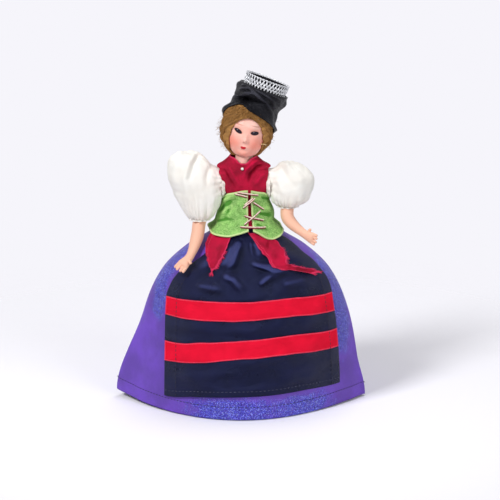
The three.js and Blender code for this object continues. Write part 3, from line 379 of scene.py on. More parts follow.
def moulded(name: str, parts: Iterable[Piece], voxel: float, rounds: int) -> Piece:
    """One moulded skin from overlapping closed parts.

    Args:
        name: name of the piece.
        parts: the closed parts, which are used up.
        voxel: size of the grid that the skin is drawn on, in millimetres.
        rounds: how often the skin is smoothed.

    Returns:
        The moulded piece.
    """
    work = bmesh.new()
    for part in parts:
        work.from_mesh(part.data)
        mesh = part.data
        bpy.data.objects.remove(part)
        bpy.data.meshes.remove(mesh)
    piece = new_piece(name, np.zeros((0, 3)), [])
    work.to_mesh(piece.data)
    work.free()
    skin = piece.modifiers.new("skin", "REMESH")
    skin.mode = "VOXEL"
    skin.voxel_size = voxel * MM
    polish = piece.modifiers.new("polish", "SMOOTH")
    polish.factor, polish.iterations = 0.5, rounds
    settle(piece)
    smooth(piece)
    return piece


def coordinates(piece: Piece) -> Array:
    """Corners of a piece in millimetres."""
    points = np.zeros(len(piece.data.vertices) * 3, np.float32)
    piece.data.vertices.foreach_get("co", points)
    return points.reshape(-1, 3).astype(float) / MM


def move_to(piece: Piece, points: Array) -> None:
    """Puts the corners of a piece at places in millimetres."""
    piece.data.vertices.foreach_set("co", (points * MM).astype(np.float32).ravel())
    piece.data.update()


def normals(piece: Piece) -> Array:
    """Outward direction at each corner of a piece."""
    out = np.zeros(len(piece.data.vertices) * 3, np.float32)
    piece.data.vertex_normals.foreach_get("vector", out)
    return out.reshape(-1, 3).astype(float)


def declare_cloth(
    grid: Array, fullness: float = 1.0, wrap: bool = False,
) -> None:
    """Works out the cut width, length and covered area of a sheet of cloth from its grid of points, and keeps
    none of them.

    Args:
        grid: its points in millimetres, the rows running from the lower edge up.
        fullness: how much more cloth was cut than shows, taken up by small gathers.
        wrap: whether the columns close in a ring.
    """
    ring = np.concatenate([grid, grid[:, :1]], 1) if wrap else grid
    across, along = np.diff(ring, axis=1), np.diff(ring, axis=0)
    width = max(np.linalg.norm(across, axis=2).sum(1).max(), NARROWEST_CUT)
    length = max(np.linalg.norm(along, axis=2).sum(0).mean(), NARROWEST_CUT)
    area = np.linalg.norm(np.cross(across[:-1], along[:, :-1]), axis=2).sum()
    area = float(min(max(area * fullness, LEAST_AREA * width * length), width * length))


# Node trees


class Nodes:
    """Short ways to add and join nodes in one tree."""

    def __init__(self, tree: Tree) -> None:
        """Keeps the tree."""
        self.tree = tree

    def put(self, target: Socket, value: object) -> None:
        """Joins a socket to an input, or sets the input's own value."""
        if isinstance(value, Socket):
            self.tree.links.new(value, target)
        elif value is not None:
            target.default_value = (*value, 1.0) if target.type == "RGBA" and len(value) == 3 else value

    def fill(self, node: Node, inputs: dict) -> Node:
        """Joins or sets inputs of a node, each given by its name or number."""
        for key, value in inputs.items():
            self.put(node.inputs[key], value)
        return node

    def add(self, kind: str, inputs: Optional[dict] = None, **settings: object) -> Node:
        """Adds a node, sets its options and fills its inputs."""
        node = self.tree.nodes.new(kind)
        for name, value in settings.items():
            setattr(node, name, value)
        return self.fill(node, inputs or {})

    def make(self, kind: str, inputs: Optional[dict] = None, **settings: object) -> Socket:
        """Adds a node and gives its first output."""
        return self.add(kind, inputs, **settings).outputs[0]

    def math(self, kind: str, *values: object) -> Socket:
        """Arithmetic on one to three numbers."""
        return self.make("ShaderNodeMath", dict(enumerate(values)), operation=kind)

    def vector(self, kind: str, *values: object) -> Socket:
        """Arithmetic on vectors."""
        return self.make("ShaderNodeVectorMath", dict(enumerate(values)), operation=kind)

    def length(self, vector: object) -> Socket:
        """Length of a vector."""
        return self.add("ShaderNodeVectorMath", {0: vector}, operation="LENGTH").outputs["Value"]

    def split(self, vector: object) -> Sequence[Socket]:
        """The three numbers of a vector."""
        return self.add("ShaderNodeSeparateXYZ", {0: vector}).outputs

    def spread(self, value: object, low: float, high: float, start: float = 0, end: float = 1) -> Socket:
        """Maps a range of numbers smoothly onto another."""
        numbers = dict(enumerate((value, low, high, start, end)))
        return self.make("ShaderNodeMapRange", numbers, interpolation_type="SMOOTHSTEP")

    def blend(self, share: object, a: object, b: object) -> Socket:
        """Mixes two colours."""
        return self.add("ShaderNodeMix", {"Factor": share, 6: a, 7: b}, data_type="RGBA").outputs[2]

    def noise(self, place: object, scale: object, detail: float = 2, rough: float = 0.5) -> Socket:
        """Soft noise between 0 and 1."""
        inputs = {"Vector": place, "Scale": scale, "Detail": detail, "Roughness": rough}
        return self.add("ShaderNodeTexNoise", inputs).outputs["Fac"]

    def here(self) -> Socket:
        """Place on the object, in millimetres."""
        return self.vector("SCALE", self.add("ShaderNodeTexCoord").outputs["Object"], None, None, 1 / MM)

    def thread(self) -> Socket:
        """Place on the cloth along its threads, in millimetres."""
        return self.make("ShaderNodeUVMap", uv_map="thread")

    def value(self, name: str) -> Socket:
        """Number stored at the corners of a piece."""
        return self.add("ShaderNodeAttribute", attribute_name=name).outputs["Fac"]

    def use(self, group: Tree, **inputs: object) -> Sequence[Socket]:
        """Places a node group with its own values and gives its outputs."""
        return self.add("ShaderNodeGroup", inputs, node_tree=group).outputs


def new_tree(name: str, kind: str, inputs: dict[str, object],
             outputs: Sequence[str]) -> tuple[Nodes, dict, dict]:
    """Starts a shader node group or a geometry tree.

    Args:
        name: name of the tree.
        kind: "Shader" or "Geometry".
        inputs: value of each number that comes in, or the kind of another input.
        outputs: names of what it gives, which are numbers or geometry.

    Returns:
        The nodes, the sockets that bring the inputs in and those that take the outputs.
    """
    tree = bpy.data.node_groups.new(name, f"{kind}NodeTree")
    for key, value in inputs.items():
        sort = value if isinstance(value, str) else "Float"
        socket = tree.interface.new_socket(name=key, in_out="INPUT", socket_type=f"NodeSocket{sort}")
        if sort is not value:
            socket.default_value = value
    for key in outputs:
        sort = "Geometry" if kind == "Geometry" else "Float"
        tree.interface.new_socket(name=key, in_out="OUTPUT", socket_type=f"NodeSocket{sort}")
    nodes = Nodes(tree)
    enter, leave = nodes.add("NodeGroupInput"), nodes.add("NodeGroupOutput")
    return nodes, {s.name: s for s in enter.outputs if s.name}, {s.name: s for s in leave.inputs if s.name}


def weave_group() -> Tree:
    """Plain weave: threads that pass over and under each other, of slightly uneven thickness."""
    inputs = {"Place": "Vector", "Threads": 3.0, "Slub": 0.4}
    n, enter, leave = new_tree("weave", "Shader", inputs, ("Height", "Tone"))
    wobble = n.math("MULTIPLY", n.noise(enter["Place"], 0.35), 1.5)
    u, v, _ = n.split(n.vector("SCALE", enter["Place"], None, None, enter["Threads"]))
    warp, weft = (n.math("SINE", n.math("MULTIPLY", n.math("ADD", x, wobble), math.pi)) for x in (u, v))
    over = n.math("MULTIPLY", warp, weft)
    slub = n.noise(n.vector("MULTIPLY", enter["Place"], (0.5, 4.0, 1.0)), 1.0)
    n.put(leave["Height"], n.math("MULTIPLY_ADD", slub, enter["Slub"], n.math("ABSOLUTE", over)))
    n.put(leave["Tone"], n.math("MULTIPLY_ADD", over, 0.25, n.math("MULTIPLY_ADD", slub, enter["Slub"], 0.3)))
    return n.tree


def mottle_group() -> Tree:
    """Slow uneven tone from handling and fading, with a little dust."""
    inputs = {"Place": "Vector", "Size": 8.0, "Dust": 0.2}
    n, enter, leave = new_tree("mottle", "Shader", inputs, ("Tone", "Specks"))
    n.put(leave["Tone"], n.noise(enter["Place"], n.math("DIVIDE", 1.0, enter["Size"]), 4))
    specks = n.spread(n.noise(enter["Place"], 3.1, 3, 0.7), 0.62, 0.74)
    n.put(leave["Specks"], n.math("MULTIPLY", specks, enter["Dust"]))
    return n.tree


def shared(maker: Callable[[], Tree]) -> Tree:
    """A shared effect or geometry tree, built by its maker on first use."""
    return TREES[maker.__name__] if maker.__name__ in TREES else TREES.setdefault(maker.__name__, maker())


def new_material(name: str) -> tuple[Material, Nodes, Node]:
    """Empty material with its surface shader.

    Args:
        name: name of the material.

    Returns:
        The material, its nodes and its surface shader.
    """
    material = bpy.data.materials.new(name)
    material.use_nodes = True
    nodes = Nodes(material.node_tree)
    return material, nodes, material.node_tree.nodes["Principled BSDF"]


def mottled(n: Nodes, size: float, dust: float) -> tuple[Socket, Socket]:
    """Uneven tone and dust specks over a whole piece."""
    made = n.use(shared(mottle_group), Place=n.here(), Size=size, Dust=dust)
    return made["Tone"], made["Specks"]


def raise_bump(n: Nodes, shader: Node, height: object, depth: float) -> None:
    """Feeds a height to the shader's normal, one unit of it being depth millimetres."""
    bump_inputs = {"Strength": 1.0, "Distance": depth * MM, "Height": height}
    n.put(shader.inputs["Normal"], n.make("ShaderNodeBump", bump_inputs))


def srgb(red: int, green: int, blue: int) -> Colour:
    """Colour as it is written on a screen, made linear."""
    shares = (c / 255 for c in (red, green, blue))
    return tuple(((s + 0.055) / 1.055) ** 2.4 if s > 0.04 else s / 12.92 for s in shares)


# Finishes

TONES = (0.3, 0.7)  # range of the mottle's tone that is used


@dataclass(frozen=True)
class ClothFinish:
    """Woven or felted cloth."""

    name: str
    colour: Colour
    deep: Colour
    light: Colour
    threads: float = 3.0
    slub: float = 0.4
    depth: float = 0.12
    rough: float = 0.85
    sheen: float = 0.0
    gloss: float = 0.4
    shine: Colour = (1.0, 1.0, 1.0)
    dust: float = 0.15
    size: float = 9.0
    edge: Optional[Colour] = None
    edge_width: float = 0.7
    fuzz: float = 0.0
    thin: float = 0.0
    # colour of the painted highlight on fold crests; where it is set, deep is also painted as shade in the
    # fold valleys
    painted_crest_highlight: Optional[Colour] = None

    def build(self) -> Material:
        """Makes the material."""
        material, n, shader = new_material(self.name)
        weave = n.use(shared(weave_group), Place=n.thread(), Threads=self.threads, Slub=self.slub)
        tone, specks = mottled(n, self.size, self.dust)
        colour = n.blend(n.spread(tone, *TONES), self.deep, self.colour)
        colour = n.blend(n.math("MULTIPLY", weave["Tone"], 0.35), colour, self.light)
        height = weave["Height"]
        if self.fuzz:
            hairs = n.noise(n.here(), 2.2, 6, 0.75)
            colour = n.blend(n.spread(hairs, 0.42, 0.66, 0, self.fuzz), colour, self.light)
            colour = n.blend(n.spread(hairs, 0.5, 0.36, 0, self.fuzz * 0.7), colour, self.deep)
            height = n.math("MULTIPLY_ADD", height, 0.2, n.math("MULTIPLY", hairs, 1.6))
        if self.edge:
            cut = n.math("MULTIPLY_ADD", n.noise(n.here(), 1.3, 3), -0.6, n.value("border"))
            colour = n.blend(n.spread(cut, self.edge_width, self.edge_width * 0.3), colour, self.edge)
        colour = n.blend(specks, colour, self.light)
        # Painted shade and highlight: the deep colour is laid in the fold valleys and the crest colour on the
        # fold crests.
        if self.painted_crest_highlight:
            fold = n.value("fold")
            colour = n.blend(n.spread(fold, -0.1, -1.0, 0, 0.85), colour, self.deep)
            colour = n.blend(n.spread(fold, 0.3, 1.7, 0, 0.75), colour, self.painted_crest_highlight)
        n.fill(shader, {
            "Base Color": colour, "Roughness": n.spread(tone, *TONES, self.rough - 0.06, self.rough + 0.06),
            "Sheen Weight": self.sheen, "Sheen Roughness": 0.4, "Specular IOR Level": self.gloss,
            "Specular Tint": self.shine, "Subsurface Weight": self.thin,
            "Subsurface Radius": (0.6, 0.58, 0.54), "Subsurface Scale": 1.0 * MM})
        raise_bump(n, shader, height, self.depth)
        return material


@dataclass(frozen=True)
class GlitterFinish:
    """Violet satin that is sprinkled with blue glitter in places."""

    name: str = "violet satin"
    colour: Colour = srgb(100, 54, 184)
    deep: Colour = srgb(74, 36, 142)
    light: Colour = srgb(140, 108, 216)
    spark: Colour = srgb(74, 78, 206)
    painted_glint: Colour = srgb(150, 166, 244)
    dark: Colour = srgb(40, 30, 128)
    threads: float = 5.0

    def build(self) -> Material:
        """Makes the material."""
        material, n, shader = new_material(self.name)
        weave = n.use(shared(weave_group), Place=n.thread(), Threads=self.threads, Slub=0.5)
        colour = n.blend(n.spread(mottled(n, 14.0, 0.1)[0], *TONES), self.deep, self.colour)
        colour = n.blend(n.math("MULTIPLY", weave["Tone"], 0.3), colour, self.light)
        cells = n.add("ShaderNodeTexVoronoi", {"Vector": n.here(), "Scale": 3.6}, feature="F1")
        red, green, blue = n.add("ShaderNodeSeparateColor", {0: cells.outputs["Color"]}).outputs
        grain = n.blend(n.spread(red, 0.45, 0.5), self.dark, self.spark)
        # Painted glints: the palest flakes stand for glitter that catches the light.
        grain = n.blend(n.spread(green, 0.87, 0.9), grain, self.painted_glint)
        uneven = n.math("MULTIPLY_ADD", n.noise(n.here(), 0.25, 4, 0.65), 0.9, -0.45)
        there = n.spread(n.math("ADD", n.value("glitter"), uneven), 0.22, 0.72)
        there = n.math("MULTIPLY", there, n.spread(blue, 0.1, 0.3, 0.35, 1.0))
        n.fill(shader, {"Base Color": n.blend(there, colour, grain), "Specular IOR Level": 0.35,
                        "Roughness": n.math("MULTIPLY_ADD", there, -0.16, 0.46)})
        flake = n.math("MULTIPLY", green, there)
        raise_bump(n, shader, n.math("MULTIPLY_ADD", weave["Height"], 0.35, flake), 0.1)
        return material


@dataclass(frozen=True)
class SkinFinish:
    """Flesh-coloured celluloid with a blush, and a painted face where the piece has face coordinates."""

    name: str
    colour: Colour = srgb(255, 188, 172)
    blush: Colour = srgb(252, 140, 118)
    pale: Colour = srgb(255, 208, 195)
    dust: Colour = srgb(214, 150, 122)
    lip: Colour = srgb(206, 34, 48)
    white: Colour = srgb(240, 238, 232)
    black: Colour = srgb(28, 24, 26)
    face: bool = False
    sock: bool = False

    def patches(self) -> list[tuple]:
        """Paint in the order laid: middle, half size, turn in degrees, softness, share and colour."""
        laid = [((x, 14.2), (3.6, 3.4), 0, 0.9, 0.75, self.blush) for x in (-5.6, 5.6)]
        laid.append(((0, 9.2), (3.4, 2.2), 0, 0.9, 0.45, self.blush))
        for side, turn in ((-1, -20), (1, -2)):
            eye = (side * 4.1, 20.6)
            laid += [
                ((side * 4.3, 24.0), (2.2, 0.28), turn * 0.5 - side * 8, 0.6, 0.55, srgb(170, 90, 60)),
                # painted shade in the eye socket, round the lid
                ((side * 4.1, 20.9), (2.5, 1.6), turn, 0.25, 0.3, srgb(200, 120, 100)),
                (eye, (2.05, 1.05), turn, 0.1, 1.0, srgb(14, 5, 14)),
                (eye, (1.2, 0.6), turn, 0.35, 0.35, srgb(76, 54, 82)),
                (eye, (0.5, 0.5), turn, 0.2, 1.0, srgb(14, 8, 16)),
                # painted highlight: a small glint on the eye
                ((side * 4.1 - 0.5, 21.05), (0.24, 0.16), 0, 0.3, 0.6, srgb(210, 205, 215)),
            ]
        return laid

    @staticmethod
    def mask(n: Nodes, at: tuple[float, float], half: tuple[float, float], turn: float,
             soft: float) -> Socket:
        """Oval patch on the face, 1 inside and 0 outside.

        Args:
            n: the nodes of the material.
            at: middle of the patch, across and up, in millimetres.
            half: half width and half height.
            turn: how far it is turned, in degrees.
            soft: share of its size over which it fades.

        Returns:
            The socket of the patch.
        """
        shift = n.vector("SUBTRACT", n.make("ShaderNodeUVMap", uv_map="face"), (*at, 0.0))
        angle = math.radians(-turn)
        spin = n.make("ShaderNodeVectorRotate", {"Vector": shift, "Angle": angle}, rotation_type="Z_AXIS")
        return n.spread(n.length(n.vector("DIVIDE", spin, (*half, 1.0))), 1.0 + soft, 1.0 - soft)

    def paint(self, n: Nodes, colour: Socket) -> tuple[Socket, Socket]:
        """Paints cheeks, brows, eyes and mouth, with painted shade in the eye sockets and a painted glint on
        each eye.

        Args:
            n: the nodes of the material.
            colour: the bare skin colour.

        Returns:
            The painted colour, and where the paint is glossy.
        """
        for at, half, turn, soft, share, tint in self.patches():
            colour = n.blend(n.math("MULTIPLY", self.mask(n, at, half, turn, soft), share), colour, tint)
        right = self.mask(n, (-0.95, 12.75), (0.85, 0.5), 8, 0.15)
        left = self.mask(n, (0.2, 12.75), (0.9, 0.5), -6, 0.15)
        lower = self.mask(n, (-0.4, 12.2), (1.0, 0.5), 0, 0.15)
        gloss = n.math("MAXIMUM", n.math("MAXIMUM", right, left), lower)
        return n.blend(gloss, colour, self.lip), gloss

    def build(self) -> Material:
        """Makes the material."""
        material, n, shader = new_material(self.name)
        tone, specks = mottled(n, 6.0, 0.12)
        colour = n.blend(n.spread(tone, *TONES), self.colour, self.pale)
        colour = n.blend(n.math("MULTIPLY", specks, 0.6), colour, self.dust)
        rough = n.spread(tone, *TONES, 0.36, 0.46)
        if self.face:
            colour, gloss = self.paint(n, colour)
            rough = n.math("MULTIPLY_ADD", gloss, -0.08, rough)
        if self.sock:
            height = n.math("MULTIPLY_ADD", n.noise(n.here(), 0.6), 0.3, n.split(n.here())[2])
            for top, paint in ((15.4, self.white), (5.4, self.black)):
                colour = n.blend(n.spread(height, top, top - 0.2), colour, paint)
        n.fill(shader, {"Base Color": colour, "Roughness": rough, "Subsurface Weight": 0.12,
                        "Subsurface Radius": (1.0, 0.5, 0.38), "Subsurface Scale": 1.2 * MM,
                        "Specular IOR Level": 0.22})
        raise_bump(n, shader, n.noise(n.here(), 1.4, 3), 0.03)
        return material


@dataclass(frozen=True)
class HairFinish:
    """Golden-brown mohair, each strand of its own tone."""

    name: str = "mohair"
    dark: Colour = srgb(98, 62, 30)
    middle: Colour = srgb(198, 150, 92)
    light: Colour = srgb(255, 226, 170)

    def build(self) -> Material:
        """Makes the material."""
        material, n, shader = new_material(self.name)
        streak = n.noise(n.vector("MULTIPLY", n.here(), (2.2, 2.2, 0.7)), 1.0, 4, 0.7)
        tone = n.math("ADD", n.value("tint"), n.math("MULTIPLY_ADD", streak, 0.3, -0.15))
        colour = n.blend(n.spread(tone, 0.1, 0.5), self.dark, self.middle)
        colour = n.blend(n.spread(tone, 0.5, 0.92), colour, self.light)
        n.fill(shader, {"Base Color": colour, "Roughness": n.spread(streak, 0.2, 0.8, 0.5, 0.68)})
        raise_bump(n, shader, streak, 0.25)
        return material


@dataclass(frozen=True)
class HardFinish:
    """Wire, metal thread, card, glass or pearl."""

    name: str
    colour: Colour
    deep: Colour
    metal: float = 0.0
    rough: float = 0.4
    size: float = 1.5
    depth: float = 0.03
    coat: float = 0.0

    def build(self) -> Material:
        """Makes the material."""
        material, n, shader = new_material(self.name)
        tone = n.spread(mottled(n, self.size, 0.3)[0], 0.35, 0.65)
        n.fill(shader, {"Base Color": n.blend(tone, self.deep, self.colour), "Metallic": self.metal,
                        "Roughness": n.math("MULTIPLY_ADD", tone, -0.12, self.rough + 0.06),
                        "Coat Weight": self.coat})
        raise_bump(n, shader, n.noise(n.here(), 4.0, 3), self.depth)
        return material


class Finish(Enum):
    """Finishes of the doll, each with the name of a slot."""

    MUSLIN = ("muslin", ClothFinish(
        "ivory muslin", srgb(255, 252, 245), srgb(252, 245, 235), srgb(255, 255, 252),
        threads=3.4, slub=0.7, depth=0.06, rough=0.9, thin=0.15, gloss=0.2))
    COTTON = ("red_cotton", ClothFinish(
        "red cotton", srgb(200, 6, 56), srgb(128, 0, 28), srgb(226, 60, 98), painted_crest_highlight=srgb(226, 26, 78),
        threads=2.6, slub=0.6, depth=0.12, edge=srgb(222, 56, 98), edge_width=0.35, gloss=0.1))
    # The felt's pale edge colour is partly its cut edge and partly a painted highlight along its edges.
    FELT = ("green_felt", ClothFinish(
        "green felt", srgb(136, 204, 98), srgb(62, 134, 40), srgb(196, 234, 152), painted_crest_highlight=srgb(196, 236, 150),
        threads=1.2, depth=0.22, rough=0.97, sheen=0.05, edge=srgb(206, 232, 160), edge_width=0.8, fuzz=0.8,
        size=4.0, gloss=0.1))
    NAVY = ("navy_satin", ClothFinish(
        "navy satin", srgb(12, 13, 38), srgb(3, 3, 14), srgb(28, 32, 74), painted_crest_highlight=srgb(60, 66, 116),
        threads=6.0, slub=0.3, depth=0.04, rough=0.32, gloss=0.4, dust=0.03, shine=(0.24, 0.29, 0.62)))
    BLACK = ("black_satin", ClothFinish(
        "black satin", srgb(12, 12, 15), srgb(3, 3, 4), srgb(36, 36, 44), painted_crest_highlight=srgb(58, 58, 68),
        threads=6.0, slub=0.3, depth=0.05, rough=0.36, size=5.0, gloss=0.25, dust=0.06,
        shine=(0.5, 0.5, 0.58)))
    RIBBON = ("red_ribbon", ClothFinish(
        "red ribbon", srgb(240, 14, 50), srgb(224, 6, 42), srgb(246, 48, 80),
        threads=2.2, slub=0.35, depth=0.14, rough=0.8, edge=srgb(246, 60, 86), edge_width=0.45, gloss=0.06))
    VIOLET = ("violet_satin", GlitterFinish())
    SKIN = ("celluloid", SkinFinish("celluloid"))
    FACE = ("celluloid", SkinFinish("painted celluloid", face=True))
    LEG = ("celluloid", SkinFinish("celluloid leg", sock=True))
    HAIR = ("mohair", HairFinish())
    SILVER = ("silver_net", HardFinish(
        "silver thread", srgb(236, 237, 240), srgb(186, 188, 194), metal=0.45, rough=0.34, size=0.5))
    WIRE = ("steel_wire", HardFinish("steel wire", srgb(190, 190, 192), srgb(120, 118, 116), metal=1.0,
                                     rough=0.35))
    PIN = ("steel_wire", HardFinish("brass wire", srgb(236, 214, 170), srgb(196, 160, 100), metal=0.7,
                                    rough=0.35))
    ELASTIC = ("elastic", HardFinish("elastic", srgb(232, 224, 206), srgb(196, 184, 160), rough=0.85,
                                     depth=0.08))
    CARD = ("card", HardFinish("black card", srgb(34, 32, 36), srgb(20, 19, 22), rough=0.9, depth=0.06))
    PEARL = ("pearl", HardFinish("white glass head", srgb(246, 243, 238), srgb(230, 224, 216), rough=0.18,
                                 coat=0.6))
    CREAM = ("lacing_cord", HardFinish(
        "cream cord", srgb(250, 232, 220), srgb(222, 184, 170), rough=0.75, size=0.7, depth=0.08))
    WINE = ("lacing_cord", HardFinish("wine cord", srgb(140, 24, 50), srgb(84, 8, 28), rough=0.75, size=0.7,
                                      depth=0.08))
    STITCH = ("navy_satin", HardFinish("dark thread", srgb(26, 22, 46), srgb(14, 12, 28), rough=0.7,
                                       size=0.8))
    ROSE = ("red_cotton", HardFinish("rose thread", srgb(236, 96, 128), srgb(206, 40, 84), rough=0.8,
                                     size=0.8))
    GREY = ("navy_satin", HardFinish("grey thread", srgb(74, 76, 100), srgb(40, 42, 66), rough=0.7, size=0.8))

    @property
    def material(self) -> Material:
        """The finish's material, built on first use."""
        look = self.value[1]
        return bpy.data.materials.get(look.name) or look.build()

    @property
    def slot(self) -> str:
        """Name of the finish's slot."""
        return self.value[0]


def dress(piece: Piece, finish: Finish, body: str, stands_for: Sequence[str] = (), ride: bool = True) -> None:
    """Gives a piece its finish and its body, and hides the solids that it stands for.

    Args:
        piece: the finished piece.
        finish: its finish.
        body: body that it rides on.
        stands_for: nodes that it replaces.
        ride: whether it rides on the body; False leaves it unattached, for a piece that spans a joint.
    """
    piece.data.materials.clear()
    piece.data.materials.append(finish.material)
    if ride:
        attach(piece, body)
    if stands_for:
        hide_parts(*stands_for)
    LOG.info("%s: %d faces, %s", piece.name, len(piece.data.polygons), finish.value[1].name)


# What repeats or follows a path


def run_tree(piece: Piece, tree: Tree, **inputs: object) -> Piece:
    """Runs a geometry tree on a piece and keeps the result as a plain mesh.

    Args:
        piece: the piece with the tree's starting points or lines.
        tree: the tree.
        inputs: values of its named inputs.

    Returns:
        The same piece.
    """
    maker = piece.modifiers.new("maker", "NODES")
    maker.node_group = tree
    for item in tree.interface.items_tree:
        if item.item_type == "SOCKET" and item.in_out == "INPUT" and item.name in inputs:
            maker[item.identifier] = inputs[item.name]
    settle(piece)
    return piece


def end_tree(n: Nodes, made: Socket, look: Socket, leave: dict) -> Tree:
    """Ends a tree: copies made real, shaded smooth and given their material."""
    shaded = n.make("GeometryNodeSetShadeSmooth", {0: n.make("GeometryNodeRealizeInstances", {0: made})})
    n.put(leave["Geometry"], n.make("GeometryNodeSetMaterial", {0: shaded, "Material": look}))
    return n.tree


def thread_tree() -> Tree:
    """Round threads along lines, thinner where the points say so."""
    inputs = {"Geometry": "Geometry", "Radius": "Float", "Sides": "Int", "Finish": "Material"}
    n, enter, leave = new_tree("threads", "Geometry", inputs, ("Geometry",))
    tube = n.make("GeometryNodeCurveToMesh", {
        "Curve": n.make("GeometryNodeMeshToCurve", {0: enter["Geometry"]}),
        "Profile Curve": n.make("GeometryNodeCurvePrimitiveCircle",
                                {"Resolution": enter["Sides"], "Radius": enter["Radius"]}),
        "Scale": n.make("GeometryNodeInputNamedAttribute", {0: "taper"}, data_type="FLOAT"),
        "Fill Caps": True})
    return end_tree(n, tube, enter["Finish"], leave)


def stitch_tree() -> Tree:
    """A row of short stitches along a line."""
    inputs = {"Geometry": "Geometry", "Pitch": "Float", "Length": "Float", "Radius": "Float",
              "Finish": "Material"}
    n, enter, leave = new_tree("stitches", "Geometry", inputs, ("Geometry",))
    line = n.make("GeometryNodeMeshToCurve", {0: enter["Geometry"]})
    places = n.add("GeometryNodeCurveToPoints", {"Curve": line, "Length": enter["Pitch"]},
                   mode="LENGTH").outputs
    bead = n.make("GeometryNodeMeshUVSphere", {"Segments": 6, "Rings": 5, "Radius": 1.0})
    size = n.make("ShaderNodeCombineXYZ", {0: enter["Radius"], 1: enter["Radius"], 2: enter["Length"]})
    beads = n.make("GeometryNodeInstanceOnPoints", {
        "Points": places["Points"], "Instance": bead, "Rotation": places["Rotation"], "Scale": size})
    return end_tree(n, beads, enter["Finish"], leave)


def net_tree() -> Tree:
    """Leaf-shaped loops of wire at points, each turned as its point says."""
    inputs = {"Geometry": "Geometry", "Half width": "Float", "Half height": "Float", "Wire": "Float",
              "Finish": "Material"}
    n, enter, leave = new_tree("net", "Geometry", inputs, ("Geometry",))
    x, y, _ = n.split(n.make("GeometryNodeInputPosition"))
    pinch = n.math("SUBTRACT", 1.0, n.math("MULTIPLY", n.math("POWER", n.math("ABSOLUTE", y), 2.0), 0.25))
    across = n.math("MULTIPLY", n.math("MULTIPLY", x, pinch), enter["Half width"])
    leaf = n.make("ShaderNodeCombineXYZ", {0: across, 2: n.math("MULTIPLY", y, enter["Half height"])})
    loop = n.make("GeometryNodeCurvePrimitiveCircle", {"Resolution": 10, "Radius": 1.0})
    tube = n.make("GeometryNodeCurveToMesh", {
        "Curve": n.make("GeometryNodeSetPosition", {"Geometry": loop, "Position": leaf}),
        "Profile Curve": n.make("GeometryNodeCurvePrimitiveCircle",
                                {"Resolution": 5, "Radius": enter["Wire"]})})
    spin = n.make("GeometryNodeInputNamedAttribute", {0: "spin"}, data_type="FLOAT_VECTOR")
    turn = n.make("FunctionNodeEulerToRotation", {0: spin})
    cells = n.make("GeometryNodeInstanceOnPoints", {
        "Points": enter["Geometry"], "Instance": tube, "Rotation": turn})
    return end_tree(n, cells, enter["Finish"], leave)


def threads(
    name: str, lines: Array, radius: float, finish: Finish, taper: Optional[Array] = None,
    tint: Optional[Array] = None, sides: int = 6,
) -> Piece:
    """Round threads along lines of equal numbers of points.

    Args:
        name: name of the piece.
        lines: points in millimetres, lines by points by 3.
        radius: radius of a thread.
        finish: its finish.
        taper: share of the radius at each point.
        tint: tone of each point, for hair.
        sides: sides of a thread.

    Returns:
        The piece.
    """
    count, length = lines.shape[:2]
    start = np.arange(count * length).reshape(count, length)
    edges = np.stack([start[:, :-1], start[:, 1:]], -1).reshape(-1, 2)
    piece = new_piece(name, lines.reshape(-1, 3), [], edges.tolist())
    set_value(piece, "taper", np.ones(count * length) if taper is None else taper)
    if tint is not None:
        set_value(piece, "tint", tint)
    return run_tree(piece, shared(thread_tree), Radius=radius * MM, Sides=sides, Finish=finish.material)


def sew(name: str, line: Array, pitch: float, length: float, radius: float, finish: Finish) -> None:
    """Sews a row of stitches along one line of the clothes on the torso.

    Args:
        name: name of the piece.
        line: points in millimetres.
        pitch: distance from stitch to stitch.
        length: length of a stitch.
        radius: radius of the thread.
        finish: its finish.
    """
    piece = new_piece(name, line, [], [(i, i + 1) for i in range(len(line) - 1)])
    run_tree(piece, shared(stitch_tree), Pitch=pitch * MM, Length=length / 2 * MM, Radius=radius * MM,
             Finish=finish.material)
    dress(piece, finish, "torso")


# The doll's own body


class Side(Enum):
    """The doll's own right and left."""

    RIGHT = -1
    LEFT = 1

    @property
    def word(self) -> str:
        """The side in a name."""
        return self.name.lower()


